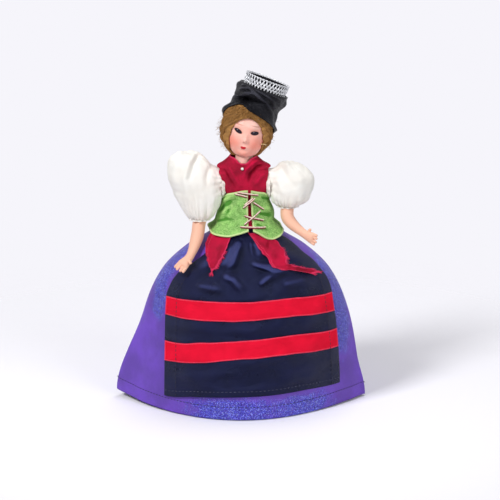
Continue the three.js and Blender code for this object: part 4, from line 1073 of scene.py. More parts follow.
@dataclass
class Trunk:
    """Torso of the doll and the cloth rings that follow it."""

    x: float = 2.6
    shoulder_z: float = 111.5
    hip_z: float = 70.0
    top_z: float = 119.5
    half: Profile = Profile((65.5, 3.2), (70, 7.4), (81, 8.8), (93, 7.3), (106, 8.2), (114.5, 8.4),
                            (119.5, 6.4))
    depth: Profile = Profile((65.5, 4.2), (81, 7.2), (93, 5.8), (106, 6.8), (113.5, 6.0), (119.5, 6.0))

    def centre(self, z: Array) -> Array:
        """Middle of the body at a height, drifting towards the head."""
        return mix(self.x, 1.2, ease(z, self.shoulder_z, self.top_z))

    def outside(self, x: Array, sign: int, least: Array | float) -> Array:
        """Keeps places on one side at least a distance from the middle."""
        return self.x + sign * np.maximum(sign * (x - self.x), least)

    def ring(self, z: Array, turn: Array, offset: float, half: Profile, depth: Profile) -> Array:
        """Points round the body.

        Args:
            z: height.
            turn: angle from the front towards the left.
            offset: how far the cloth stands off.
            half: half width by height.
            depth: half depth by height.

        Returns:
            The points in millimetres.
        """
        lift = offset * ease(z, 106, self.top_z)
        x = self.centre(z) + (half(z) + offset) * np.sin(turn)
        return xyz(x, -(depth(z) + offset) * np.cos(turn), z + lift)

    def armholes(self, grid: Array, radius: float, inner: float) -> tuple[Array, Array]:
        """Opens the two armholes in a grid of cloth.

        Args:
            grid: points of the cloth.
            radius: radius of the armholes.
            inner: distance from the middle of the body at which they start.

        Returns:
            The grid with the points in the armholes moved to their edge, and which points are cloth.
        """
        grid = grid.copy()
        y, z = grid[..., 1], grid[..., 2] - self.shoulder_z
        far = np.maximum(np.hypot(y, z), 1e-6)
        inside = (np.abs(grid[..., 0] - self.x) > inner) & (far < radius)
        scale = np.where(inside, radius / far, 1.0)
        grid[..., 1] = y * scale
        grid[..., 2] = self.shoulder_z + z * scale
        return grid, ~inside

    def build(self) -> None:
        """Dresses the shell, the hooks and the elastics, and makes the body of the blouse."""
        hidden = {
            Finish.SKIN: ["torso_shell"], Finish.CARD: ["cap_former"],
            Finish.ELASTIC: ["arm_elastic", "leg_elastic", "neck_elastic"],
            Finish.WIRE: ["right_arm_hook", "left_arm_hook", "right_leg_hook", "left_leg_hook", "neck_hook"],
        }
        for finish, nodes in hidden.items():
            for node in nodes:
                materials = bpy.data.objects[node].data.materials
                materials.clear()
                materials.append(finish.material)
        ring = self.ring(column(89, 116.5, 60), around(120), GAP + 0.5, self.half, self.depth)
        grid, keep = self.armholes(ring, 5.9, 4)
        grid[..., 1] += 0.12 * ripple(grid[..., 0], grid[..., 2], 6, 3)
        piece = cloth("blouse_cloth", grid, 0.25, wrap=True, keep=keep, centre=(self.x, 0, 100))
        ruffles = [self.ruffle(side) for side in Side]
        declare_cloth(grid, 1.0, True)
        dress(piece, Finish.MUSLIN, "torso", ["blouse_body"])

    def ruffle(self, side: Side) -> Piece:
        """Makes the ruffle round one armhole."""
        out, angle = column(0, 1, 8), around(160)
        edge = mix(8.4, 5.7, ease(np.sin(angle), 0.0, 0.6))
        far = mix(6.1, edge, out**0.7) + 0.3 * out * np.sin(15 * angle)
        x = self.x + side.value * mix(9.6, 11.7, out)
        grid = xyz(x, far * np.cos(angle), self.shoulder_z + far * np.sin(angle))
        piece = cloth(f"{side.word}_armhole_ruffle", grid, 0.2, wrap=True,
                      centre=(self.x, 0, self.shoulder_z))
        dress(piece, Finish.MUSLIN, "torso")
        return piece


@dataclass
class Limb:
    """Moulded limb: a smooth path of stations with an oval section at each."""

    places: list[Point]
    across: list[float]
    thick: list[float]
    flat: tuple[float, float, float]

    def rings(self, rows: int, columns: int) -> Array:
        """Rings of the limb.

        Args:
            rows: number of rings.
            columns: points in a ring.

        Returns:
            The points in millimetres.
        """
        path = spline(self.places, rows)
        share = np.linspace(0, 1, rows)
        stations = np.linspace(0, 1, len(self.places))
        a = Profile(*zip(stations, self.across))(share)[:, None, None]
        b = Profile(*zip(stations, self.thick))(share)[:, None, None]
        along = np.gradient(path, axis=0)
        side = unit(np.cross(along, np.array(self.flat, float)))
        up = unit(np.cross(side, along))
        angle = around(columns)[..., None]
        return path[:, None] + a * np.cos(angle) * side[:, None] + b * np.sin(angle) * up[:, None]


def ball(name: str, centre: Sequence[float], half: float, rows: int = 24, columns: int = 32) -> Piece:
    """Closed ball of rows from pole to pole, each of so many columns."""
    up, turn = column(0.04, math.pi - 0.04, rows), around(columns)
    round_points = xyz(np.sin(up) * np.cos(turn), np.sin(up) * np.sin(turn), -np.cos(up))
    return closed(name, np.array(centre) + half * round_points)


@dataclass
class Arm:
    """Celluloid arm with a moulded hand."""

    side: Side
    trunk: Trunk
    cuff: tuple[float, float, float]
    elbow: tuple[float, float, float]
    wrist: tuple[float, float, float]
    knuckles: tuple[float, float, float]
    thumb: tuple[float, float, float]
    flat: tuple[float, float, float]
    finger: float
    seat: float = 8.1
    ball_x: float = 11.8

    def build(self) -> None:
        """Makes the arm and hand as one moulding."""
        sign = self.side.value
        shoulder = np.array([self.trunk.x + sign * self.ball_x, 0, self.trunk.shoulder_z])
        wrist, knuckles = np.array(self.wrist), np.array(self.knuckles)
        reach = unit(knuckles - wrist)
        places = [shoulder, (shoulder + np.array(self.cuff)) / 2, self.cuff, self.elbow, wrist, knuckles,
                  knuckles + reach * 0.8]
        shape = Limb(places, [3.7, 3.8, 3.3, 3.2, 2.1, 2.9, 2.4], [3.7, 3.8, 3.3, 3.2, 1.9, 1.5, 1.0],
                     self.flat)
        parts = [closed("forearm", shape.rings(90, 40)), ball("shoulder", shoulder, 5)]
        across = unit(np.cross(reach, np.array(self.flat)))
        for place in (-1.55, -0.58, 0.58, 1.55):
            base = knuckles + across * place * 1.35 - reach * 0.6
            tip = base + reach * (self.finger - abs(place - 0.3) * 0.5) + across * place * 0.18
            parts.append(self.digit(base, tip, 0.76))
        parts.append(self.digit(wrist + (knuckles - wrist) * 0.3, np.array(self.thumb), 0.88))
        piece = moulded(f"{self.side.word}_arm_skin", parts, 0.17, 2)
        points = coordinates(piece)
        points[:, 0] = self.trunk.outside(points[:, 0], sign, self.seat)
        move_to(piece, points)
        dress(piece, Finish.SKIN, f"{self.side.word}_arm", [f"{self.side.word}_arm"])

    @staticmethod
    def digit(base: Array, tip: Array, radius: float) -> Piece:
        """Finger or thumb with a round end."""
        way = unit(tip - base)
        flat = (0, 1, 0) if abs(way[2]) > 0.9 else (0, 0, 1)
        sizes = [radius, radius * 0.95, radius * 0.85, radius * 0.4]
        places = [base, base + (tip - base) * 0.6, tip, tip + way * radius * 0.5]
        return closed("digit", Limb(places, sizes, sizes, flat).rings(20, 16))


@dataclass
class Leg:
    """Celluloid leg with a moulded sock and shoe."""

    side: Side
    trunk: Trunk
    ball_x: float = 8.0
    foot_x: float = 6.6
    shoe: float = 15.0

    def build(self) -> None:
        """Makes the leg as one moulding."""
        sign = self.side.value

        def at(y: float, z: float) -> Point:
            """Place on the leg's line."""
            return (self.trunk.x + sign * mix(self.foot_x, self.ball_x, z / self.trunk.hip_z), y, z)

        sizes = [5.1, 5.1, 3.5, 3.9, 2.5, 2.8]
        line = [at(0, 70), at(0, 56), at(-0.4, 38), at(0.8, 25), at(0.8, 10), at(0.8, 4)]
        shape = Limb(line, sizes, sizes, (0, 1, 0))
        foot = [(0, 0.55, 0.42), (0.15, 0.86, 0.56), (0.5, 0.9, 0.5), (0.82, 1, 0.42), (1, 0.6, 0.3)]
        places = [(at(0, 0)[0], mix(self.shoe * 0.32, -self.shoe * 0.68, s), 5 * h * 0.8) for s, _, h in foot]
        shoe = Limb(places, [3.1 * w for _, w, _ in foot], [5 * h for _, _, h in foot], (0, 0, 1))
        parts = [closed("shin", shape.rings(90, 40)), closed("shoe", shoe.rings(40, 32)),
                 ball("hip", line[0], 6)]
        piece = moulded(f"{self.side.word}_leg_skin", parts, 0.35, 3)
        points = coordinates(piece)
        points[:, 2] = np.maximum(points[:, 2], 0.0)
        points[:, 0] = self.trunk.outside(points[:, 0], sign, np.where(points[:, 2] > 60, 4.85, 2.2))
        move_to(piece, points)
        dress(piece, Finish.LEG, f"{self.side.word}_leg", [f"{self.side.word}_leg"])


# Head, hair and headdress, in the head's own frame


@dataclass
class Head:
    """Celluloid head with its painted face and its neck."""

    x: float = 1.2
    z: float = 118.6
    tilt: float = 5.0
    half: float = 9.2
    depth: float = 9.8
    rise: float = 13.4
    centre_z: float = 19.2
    drop: float = 3.2

    def world(self, points: Array) -> Array:
        """Turns points of the head's frame into the doll's."""
        turn = Matrix.Rotation(math.radians(self.tilt), 3, "Y")
        return points @ np.array(turn).T + np.array([self.x, 0, self.z])

    @staticmethod
    def features(x: Array, z: Array) -> tuple[Array, Array]:
        """Places in the frame of the features, which lean a little against the head."""
        dx, dz, lean = x + 0.45, z - 16.7, math.radians(4)
        return dx * math.cos(lean) - dz * math.sin(lean), 17 + dz * math.cos(lean) + dx * math.sin(lean)

    def relief(self, x: Array, z: Array) -> Array:
        """How far the face stands out of the egg shape."""
        x, z = self.features(x, z)
        out = 1.3 * bump(x, 0, 1.15) * (bump(z, 16.6, 1.2) + 0.5 * bump(z, 18.6, 1.8))  # nose
        out += 0.35 * pair(x, 1.0, 0.7) * bump(z, 16.1, 0.8)  # nostrils
        out -= 0.6 * pair(x, 4.1, 2.1) * bump(z, 20.7, 1.7)  # eye sockets
        out += 0.32 * pair(x, 4.1, 1.6) * bump(z, 20.7, 1.0)  # lids
        out += 0.35 * pair(x, 4, 2.6) * bump(z, 23.4, 1.4)  # brows
        out += 0.6 * pair(x, 5, 2.6) * bump(z, 14.6, 3.2)  # cheeks
        out += 0.45 * bump(x, 0, 1.5) * (bump(z, 12.95, 0.5) + bump(z, 12.1, 0.55))  # lips
        out -= 0.25 * bump(x, 0, 1.8) * bump(z, 11.0, 0.8)  # hollow under them
        return out + 0.75 * bump(x, 0, 2.6) * bump(z, 8.6, 1.9)  # chin

    def surface(self, turn: Array, share: Array) -> Array:
        """Points of the head: turn goes from chin, 0, to crown, pi, and share once round from the nose."""
        z = self.centre_z - self.rise * np.cos(turn)
        spread = np.sin(turn) ** np.where(turn < math.pi / 2, 0.62, 0.9)
        angle = math.tau * share - 0.62 * np.sin(math.tau * share)
        x, y = self.half * spread * np.sin(angle), self.depth * spread * np.cos(angle)
        shown = ease(np.maximum(0, np.cos(angle)) * np.sin(turn), 0.1, 0.5)
        return xyz(x, -y - self.relief(x, z) * shown, z)

    def build(self) -> None:
        """Makes the head and neck as one moulding and lays the face coordinates over it."""
        share = np.linspace(0, 1, 180, endpoint=False)[None, :]
        egg = closed("egg", self.surface(column(0.12, math.pi - 0.12, 150), share))
        outline = Profile((-self.drop, 0.4), (-2.5, 2.85), (-0.8, 4.37), (1, 4.6), (5, 4.35), (8, 4.9),
                          (11, 5.6))
        z, angle = column(-self.drop, 11, 60), around(48)
        neck = closed("neck", xyz(outline(z) * np.cos(angle), outline(z) * np.sin(angle), z))
        piece = moulded("head_skin", [egg, neck], 0.2, 3)
        points = coordinates(piece)
        across, up = self.features(points[:, 0], points[:, 2])
        set_uv(piece, "face", np.stack([across, np.where(points[:, 1] < 1, up, -50)], -1))
        move_to(piece, self.world(points))
        dress(piece, Finish.FACE, "head", ["head"])


@dataclass
class Wig:
    """Mohair wig: a full shape under locks of wavy strands."""

    head: Head
    half: float = 12.3
    depth: float = 12.6
    rise: float = 15.4
    centre_y: float = 1.3
    centre_z: float = 19.4
    face_half: float = 8.9
    face_rise: float = 12.2
    face_drop: float = 14.0
    face_low: float = 3.8
    allowance: float = 0.5
    strands: int = 2100

    def hug(self, z: Array) -> Array:
        """Share of the full width at a height."""
        return np.sqrt(np.maximum(0.0, 1 - ((z - self.centre_z) / self.rise) ** 2))

    def opening(self, x: Array, y: Array, z: Array) -> Array:
        """How far a place is outside the face opening, as a share of its size."""
        low = self.head.centre_z - self.face_low
        tall = np.where(z > low, self.face_rise, self.face_drop)
        return np.where(y < 1, np.sqrt((x / self.face_half) ** 2 + ((z - low) / tall) ** 2) - 1, 1.0)

    def skull(self, z: Array) -> Array:
        """Share of the head's full width at a height."""
        return np.sqrt(np.maximum(0.0, 1 - ((z - self.head.centre_z) / (self.head.rise + 0.7)) ** 2)) ** 0.8

    def parting(self, z: Array) -> Array:
        """Least angle from the front at which hair lies at a height."""
        low = self.head.centre_z - self.face_low
        reach = np.where(z > low, self.face_rise, self.face_drop)
        wide = self.face_half * np.sqrt(np.maximum(1.05**2 - ((z - low) / reach) ** 2, 0))
        return np.arcsin(np.clip(wide / (self.head.half * self.skull(z) + self.allowance), 0, 0.97))

    def surface(self, turn: Array, z: Array, stand: Array | float = 0.0) -> Array:
        """Points on the hair.

        Args:
            turn: angle from the front towards the left.
            z: height in the head's frame.
            stand: distance out of the hair.

        Returns:
            The points in the head's frame.
        """
        s, c = np.sin(turn), np.cos(turn)
        r = self.hug(z) * (0.965 + 0.03 * np.sin(9 * turn + z * 0.5) + 0.026 * np.sin(17 * turn - z * 0.9))
        x, y = self.half * r * s, self.centre_y - self.depth * r * c
        full = np.sqrt(ease(self.opening(x, y, z), -0.02, 0.3))
        skull = self.skull(z)
        x = mix((self.head.half * skull + self.allowance) * s, x, full)
        y = mix(-(self.head.depth * skull + self.allowance) * c, y, full)
        return xyz(x + stand * s, y - stand * c, z)

    def build(self) -> None:
        """Makes the full shape, its locks and its stray wisps."""
        turn = around(200, -math.pi)
        z = column(self.centre_z - self.rise * 0.88, self.centre_z + self.rise * 0.9, 130)
        grid = self.surface(turn, z)
        out = xyz(np.sin(turn), -np.cos(turn), 0.0)
        grid += 0.22 * ripple(turn * 11, z, 2.4, 5)[..., None] * out
        keep = self.opening(grid[..., 0], grid[..., 1], grid[..., 2]) > 0.0
        keep &= (np.hypot(grid[..., 0], grid[..., 1]) >= 6.2) | (grid[..., 2] >= 9)
        piece = cloth("wig_base", self.head.world(grid), 0.8, wrap=True, keep=keep,
                      centre=self.head.world(np.array([0, 1, 19.0])))
        # The base is painted dark, as shade between the strands.
        set_value(piece, "tint", np.full(len(piece.data.vertices), 0.14))
        dress(piece, Finish.HAIR, "head", ["wig"])
        layers = (("locks", 1, 0.0, 0.21), ("curls", 2, 0.35, 0.15), ("frizz", 3, 0.7, 0.1))
        for name, seed, loose, radius in layers:
            dress(self.locks(f"wig_{name}", seed, loose, radius), Finish.HAIR, "head")
        dress(self.wisps(), Finish.HAIR, "head")
        dress(self.hairpin(), Finish.PIN, "head", ["hairpin"])

    def locks(self, name: str, seed: int, loose: float, radius: float) -> Piece:
        """Strands that lie on the hair in waves.

        Args:
            name: name of the piece.
            seed: which set of strands.
            loose: how far they stand out, in millimetres.
            radius: radius of a strand.

        Returns:
            The piece.
        """
        rng = np.random.default_rng(SEED + seed)
        steps, count = 15, self.strands
        turn = rng.uniform(-math.pi, math.pi, count * 4)
        z = rng.uniform(self.centre_z - self.rise * 0.9, self.centre_z + self.rise * 0.82, count * 4)
        place = self.surface(turn, z)
        away = self.opening(place[:, 0], place[:, 1], place[:, 2])
        good = (away > 0.02) & (self.hug(z) > 0.3) & (np.abs(turn) > self.parting(z))
        good &= rng.uniform(0, 1, len(good)) < np.where(np.abs(turn) < 1.9, 1.0, 0.45)
        turn, z = turn[good][:count], z[good][:count]
        count = len(turn)
        column = np.floor(turn * 11)
        dice = rng.uniform(0, 1, (3, 997))[:, (column + 31 * np.floor(z / 5)).astype(int) % 997]
        turn = (column + 0.5 + (turn * 11 - column - 0.5) * 0.6) / 11
        phase = math.tau * dice[0] + rng.normal(0, 0.3, count)
        size = 0.6 + 0.8 * dice[1]
        # Each strand's own tone, with a painted highlight that lightens the strands towards the top of the
        # head.
        tint = 0.5 + 0.95 * (dice[2] - 0.5) + 0.2 * ease(z, 14, 29) + rng.normal(0, 0.13, count)
        tint = np.clip(tint, 0, 1)
        lines = np.zeros((count, steps, 3))
        taper = np.zeros((count, steps))
        step = rng.uniform(0.5, 0.95, count)
        wave = rng.uniform(1.7, 2.6, count)
        for k in range(steps):
            top = ease(z, 22, 31)
            sideways = np.tanh((turn + 0.12) * 3) * top * np.exp(-(turn / 1.5) ** 2) * 1.1
            swing = 1.9 * size * np.cos(phase + k * step * wave)
            turn = turn + (sideways * step + swing * 0.5) / (self.half * np.maximum(self.hug(z), 0.25))
            turn = np.where(turn < 0, -1, 1) * np.maximum(np.abs(turn), self.parting(z))
            z = z - mix(1.0, 0.45, top) * step + swing * 0.35 * top
            curl = loose + 0.3 * size * np.sin(phase * 1.3 + k * step * wave)
            lines[:, k] = self.surface(turn, z, 0.18 + curl * ease(np.cos(turn), -0.3, 0.2))
            taper[:, k] = math.sin(math.pi * (k + 0.6) / (steps + 0.2)) ** 0.5
        lines[..., 2] = np.maximum(lines[..., 2], 6.2)
        return threads(name, self.head.world(lines), radius, Finish.HAIR, taper, np.repeat(tint, steps),
                       sides=3)

    def wisps(self) -> Piece:
        """Loose hairs that stand off the sides of the wig."""
        rng = np.random.default_rng(SEED + 9)
        lines, tints = [], []
        for _ in range(150):
            side = rng.choice([-1.6, -1.45, 1.6, 2.4], p=[0.4, 0.3, 0.15, 0.15])
            turn, z = side + rng.normal(0, 0.15), rng.uniform(8, 27)
            out = np.linspace(0, 1, 14) ** 1.3 * rng.uniform(1.2, 3.6)
            curl = rng.uniform(0.4, 1.1) * np.sin(np.linspace(0, rng.uniform(2, 6), 14) + rng.uniform(0, 6))
            z = z - np.linspace(0, rng.uniform(-1, 4), 14) + curl * 0.5
            lines.append(self.surface(turn + curl * 0.06, z, out))
            tints.append(np.full(14, rng.uniform(0.5, 0.9)))
        taper = np.tile(np.linspace(1, 0.5, 14), (len(lines), 1))
        return threads("wig_wisps", self.head.world(np.array(lines)), 0.09, Finish.HAIR, taper,
                       np.concatenate(tints), sides=3)

    def hairpin(self) -> Piece:
        """Bent wire that holds the hair beside the left cheek."""
        z = self.centre_z - 6
        ends = [(0.86, 1.0), (1.0, 0.6), (1.14, 0.0), (1.28, -0.6)]
        path = spline([self.surface(np.array(a), np.array(z + dz), 0.75) for a, dz in ends], 16)
        return threads("hairpin_wire", self.head.world(path)[None], 0.3, Finish.PIN, sides=8)


# Folds drawn as the picture shows them: corners, height and half width, in millimetres
CAP_FOLDS = (
    ([(-1.5, 150.8), (1.5, 152), (4.5, 152), (8.5, 148.3), (11.5, 144.3)], 1.4, 0.66),
    ([(6, 152.3), (10.5, 149.3), (15.5, 145.8), (17, 140.3)], 1.4, 0.66),
    ([(6, 152.3), (13.5, 149.8), (19.5, 145.8), (20, 141.8)], 1.24, 0.66),
    ([(-0.5, 147.8), (2.5, 149.8), (7, 149.3), (12.5, 144.3), (15.5, 138.3), (17, 131.8)], 1.4, 0.76),
    ([(-6, 145.3), (-1.5, 147.8), (3.75, 148.8), (8.5, 145.8)], 1.4, 0.66),
    ([(-0.5, 155.3), (4.5, 154.3), (10.5, 152.8), (17, 150.3), (22, 147.3)], 1.24, 0.66),
    ([(0, 153.3), (3, 153.8), (6, 152.3)], 0.93, 0.57),
)


@dataclass
class Headdress:
    """Black satin cap with a ring of silver net on its top."""

    head: Head
    wig: Wig
    wall: float = 0.7
    top_radius: float = 12.4
    top: Point = (7.0, 5.5, 39.2)
    lean: float = 16.0
    back_lean: float = 9.0
    fold: float = 0.35
    former_top: float = -1.3
    cells: int = 40
    rows: int = 3
    cell_height: float = 3.1
    flare: float = 0.7

    @property
    def turned(self) -> Matrix:
        """How the cap's top leans in the head's frame."""
        side, back = math.radians(self.lean), math.radians(-self.back_lean)
        return Matrix.Rotation(side, 3, "Y") @ Matrix.Rotation(back, 3, "X")

    def circle(self, radius: Array | float, turn: Array, up: Array | float) -> Array:
        """Points round the axis of the cap's top, in the head's frame."""
        points = xyz(radius * np.sin(turn), -radius * np.cos(turn), up)
        return points @ np.array(self.turned).T + np.array(self.top)

    def rim(self, turn: Array) -> Array:
        """Height of the cap's lower edge."""
        slope = mix(10.0, 31.4, ((1 + np.cos(turn)) / 2) ** 0.8)
        return slope - np.maximum(0, np.sin(turn)) * 3.2 + np.maximum(0, -np.sin(turn)) * 6

    def surface(self, turn: Array, share: Array) -> Array:
        """Points of the cap from its rim, at share 0, to its top edge, at 1."""
        top = self.circle(self.top_radius, turn, 0.0)
        z = mix(self.rim(turn), top[..., 2], share)
        hug = self.wig.hug(z)
        stand = self.wall + 2 * GAP + self.fold
        low_x = (self.wig.half * hug + stand) * np.sin(turn)
        low_y = self.wig.centre_y - (self.wig.depth * hug + stand) * np.cos(turn)
        high = top[..., :2] - np.array(self.top[:2]) * (1 - share)[..., None]
        blend = ease(share, 0.15, 0.75) * ease(z, self.wig.centre_z, self.wig.centre_z + 10)
        return xyz(mix(low_x, high[..., 0], blend), mix(low_y, high[..., 1], blend), z)

    def build(self) -> None:
        """Makes the cap, its turned-in top edge and the net."""
        turn, share = around(260, -math.pi), column(0, 1, 110)
        grid = self.surface(turn, share)
        ahead = ease(np.cos(turn), -0.1, 0.3)
        wraps = 0.5 * np.sin(share * 17 + 1.4 * np.sin(turn) + 0.6 * np.sin(3 * turn))
        height = mix(wraps + 0.9, np.clip(creases(self.head.world(grid), CAP_FOLDS), -1.2, 1.5), ahead) - 0.2
        height = height + 0.2 * ripple(turn * 12, share * 20, 8, 11)
        height = height * ease(share, 0, 0.08) * ease(share, 1.0, 0.93)
        grid = grid + xyz(np.sin(turn), -np.cos(turn), 0.0) * height[..., None]
        lip = self.circle(self.top_radius - 0.75, turn, 0.12)
        deep = self.circle(self.top_radius - 0.9, turn, -1.1)
        grid = np.concatenate([grid, lip, deep], 0)
        # The fold heights are also painted: shade in the valleys and a highlight on the crests of the satin.
        fold = np.concatenate([height, 0 * height[:2]], 0)
        middle = self.head.world(np.array([4.0, 3, 25]))
        piece = cloth("cap_satin", self.head.world(grid), 0.4, wrap=True, centre=middle, fold=fold)
        declare_cloth(grid, 1.1, True)
        dress(piece, Finish.BLACK, "head", ["satin_cap"])
        self.net()

    def net(self) -> None:
        """Makes the ring of silver net."""
        former = self.top_radius - self.wall - 2 * GAP - self.fold
        half_height = self.cell_height / 2
        height = half_height * (self.rows + 1)
        base = self.former_top + GAP
        basis = Matrix.Rotation(math.radians(self.head.tilt), 3, "Y") @ self.turned

        def loop(turn: Array, v: Array | float, inset: float, wave: Array | float = 0.0) -> Array:
            """Points round the net at a height, standing in from its flared face."""
            radius = former + self.flare * v / height - inset
            return self.head.world(self.circle(radius, turn, base + v + wave))

        level, i = np.divmod(np.arange(self.rows * self.cells), self.cells)
        turn = (i + (level % 2) / 2) * math.tau / self.cells
        spins = [tuple((basis @ Matrix.Rotation(t, 3, "Z")).to_euler()) for t in turn]
        piece = new_piece("net_cells", loop(turn, half_height * (level + 1), 0.25), [])
        layer = piece.data.attributes.new("spin", "FLOAT_VECTOR", "POINT")
        layer.data.foreach_set("vector", np.array(spins, np.float32).ravel())
        width = math.pi * former / self.cells
        run_tree(piece, shared(net_tree), **{"Half width": width * 0.96 * MM,
                                             "Half height": half_height * 1.06 * MM,
                                             "Wire": 0.17 * MM, "Finish": Finish.SILVER.material})
        dress(piece, Finish.SILVER, "head", ["net_crown"])
        turn = np.linspace(0, math.tau, 181)
        rims = ((0.1, 0.0), (height - 0.1, 0.18))
        edges = [loop(turn, v, 0.25, wave * np.sin(turn * self.cells)) for v, wave in rims]
        dress(threads("net_edges", np.array(edges), 0.22, Finish.SILVER), Finish.SILVER, "head")
        ring = loop(turn[:-1], column(0.2, height - 0.5, 12), 0.75)
        lining = cloth("net_lining", ring, 0.2, wrap=True)
        declare_cloth(ring, 1.0, True)
        dress(lining, Finish.BLACK, "head")


# Clothes on the upper body


SCARF_FOLDS = (
    ([(-3.5, 117.3), (-1.5, 114.8), (0.5, 112.8)], 0.8, 0.57),
    ([(10.5, 117.3), (6.5, 115.8), (2.5, 112.3), (1, 108.3), (1.5, 102.3)], 1.44, 0.85),
    ([(11.5, 114.3), (8, 113.3), (4.5, 109.3), (3, 103.3)], -1.44, 0.76),
    ([(14.5, 112.3), (10.5, 109.3), (6.5, 104.3), (5, 101.3)], 1.12, 0.85),
    ([(-6.5, 114.3), (-3.5, 109.3), (-0.5, 104.3), (1, 101.3)], 0.96, 0.76),
    ([(-8.5, 112.8), (-5.5, 107.3), (-2.5, 102.3), (-1.5, 100)], -0.8, 0.66),
)


@dataclass
class Scarf:
    """Red scarf: over the shoulders, tucked in the bodice, its ends hanging below."""

    trunk: Trunk
    low: float = 100.0
    shoulder: float = 117.5
    shoulder_half: float = 11.6
    collar: float = 120.8
    collar_half: float = 5.0
    notch: float = 0.4
    rise: float = 2.2

    def surface(self, z: Array, turn: Array, stand: float) -> Array:
        """Points of the scarf round the body."""
        edge = self.shoulder + 1.6
        half = Profile((self.low, 7.7), (106, 8.2), (114.5, 8.5), (self.shoulder - 1, 9.4),
                       (self.shoulder, self.shoulder_half), (edge, self.shoulder_half - 2.4),
                       (self.collar, self.collar_half))
        depth = Profile((self.low, 6.4), (106, 6.8), (self.shoulder, 6.4), (self.collar, self.collar_half))
        points = self.trunk.ring(z, turn, stand, half, depth)
        wide = np.stack([half(z) + stand, depth(z) + stand], -1) * (1.15, 1.0)
        side = np.stack([np.sin(turn), -np.cos(turn)], -1)
        box = self.trunk.centre(z)[..., None] * (1, 0) + wide * np.sign(side) * np.abs(side) ** 0.55
        square = ease(z, 104, 110) * ease(z, self.shoulder, self.shoulder - 2.5)
        points[..., :2] = mix(points[..., :2], box, square[..., None])
        points[..., 0] -= 1.2 * square * ease(-np.sin(turn), 0, 0.5)
        front = ease(-points[..., 1], 0, self.collar_half)
        front *= np.maximum(0, 1 - np.abs(points[..., 0] - 1.2) / self.collar_half)
        points[..., 2] += mix(self.rise, -self.notch, ease(front, 0, 0.8)) * ease(z, edge, self.collar)
        return points

    def build(self) -> None:
        """Makes the part on the shoulders and the pin."""
        neckline = self.shoulder - 1
        z = np.concatenate([column(self.low, neckline, 70), column(neckline, self.collar, 50)[1:]])
        grid = self.surface(z, around(300, -math.pi), 1.75)
        front = ease(-grid[..., 1], 0, 5)
        height = creases(grid, SCARF_FOLDS) + 0.16 * ripple(grid[..., 0], grid[..., 2], 5, 21)
        grid[..., 1] -= front * height * ease(z, self.collar, self.collar - 1.2)
        grid, keep = self.trunk.armholes(grid, 6.5, 5)
        # The fold heights are also painted: shade in the valleys and a highlight on the crests.
        piece = cloth("scarf_cloth", grid, 0.5, wrap=True, keep=keep, centre=(self.trunk.x, 0, 110),
                      fold=front * height)
        declare_cloth(grid, 1.0, True)
        dress(piece, Finish.COTTON, "torso", ["scarf"])
        dress(ball("pin_head", (0.7, -9.1, 120.2), 0.75, 16, 20), Finish.PEARL, "torso", ["neck_pin"])
        shank = np.linspace((0.7, -8.9, 120.1), (0.75, -6.6, 119.2), 4)[None]
        dress(threads("pin_shank", shank, 0.2, Finish.WIRE), Finish.WIRE, "torso")


class Bell:
    """The bell of the skirt, and the apron's face that lies on it."""

    top = 91.0
    half = Profile((0, 62), (22, 57.2), (40, 52.3), (55, 47.5), (67, 41), (78, 29.5), (84, 20), (88, 13.9),
                   (91, 11.8))
    front = Profile((0, 40), (20, 38.5), (40, 36), (54, 32.5), (67, 27), (78, 19.5), (85, 13.2), (91, 10.6))
    back = Profile((0, 39.6), (20, 38), (40, 34.6), (54, 30.6), (67, 25), (78, 18), (85, 12.2), (91, 10.4))

    @staticmethod
    def centre(z: Array) -> Array:
        """Middle of the bell at a height."""
        return 2.6 * ease(z, 12, 45)

    @staticmethod
    def power(z: Array) -> Array:
        """How pointed the bell is at its side seams."""
        return mix(2.1, 1.0, ease(z, 0, 80))

    @staticmethod
    def front_y(x: Array, z: Array, stand: Array | float) -> Array:
        """Front face of the bell at a place, standing off by a distance."""
        across = (x - Bell.centre(z)) / (Bell.half(z) + stand)
        share = np.maximum(0.0, 1 - across**2) ** (Bell.power(z) / 2)
        return -GAP / 2 - (Bell.front(z) + stand) * share

    @staticmethod
    def ring(turn: Array, z: Array, stand: Array | float) -> Array:
        """Points round the bell, standing off by a distance."""
        s, c = np.sin(turn), np.cos(turn)
        depth = np.where(c > 0, Bell.front(z), Bell.back(z)) + stand
        return xyz(Bell.centre(z) + (Bell.half(z) + stand) * s,
                   -np.sign(c) * depth * np.abs(c) ** Bell.power(z), z)


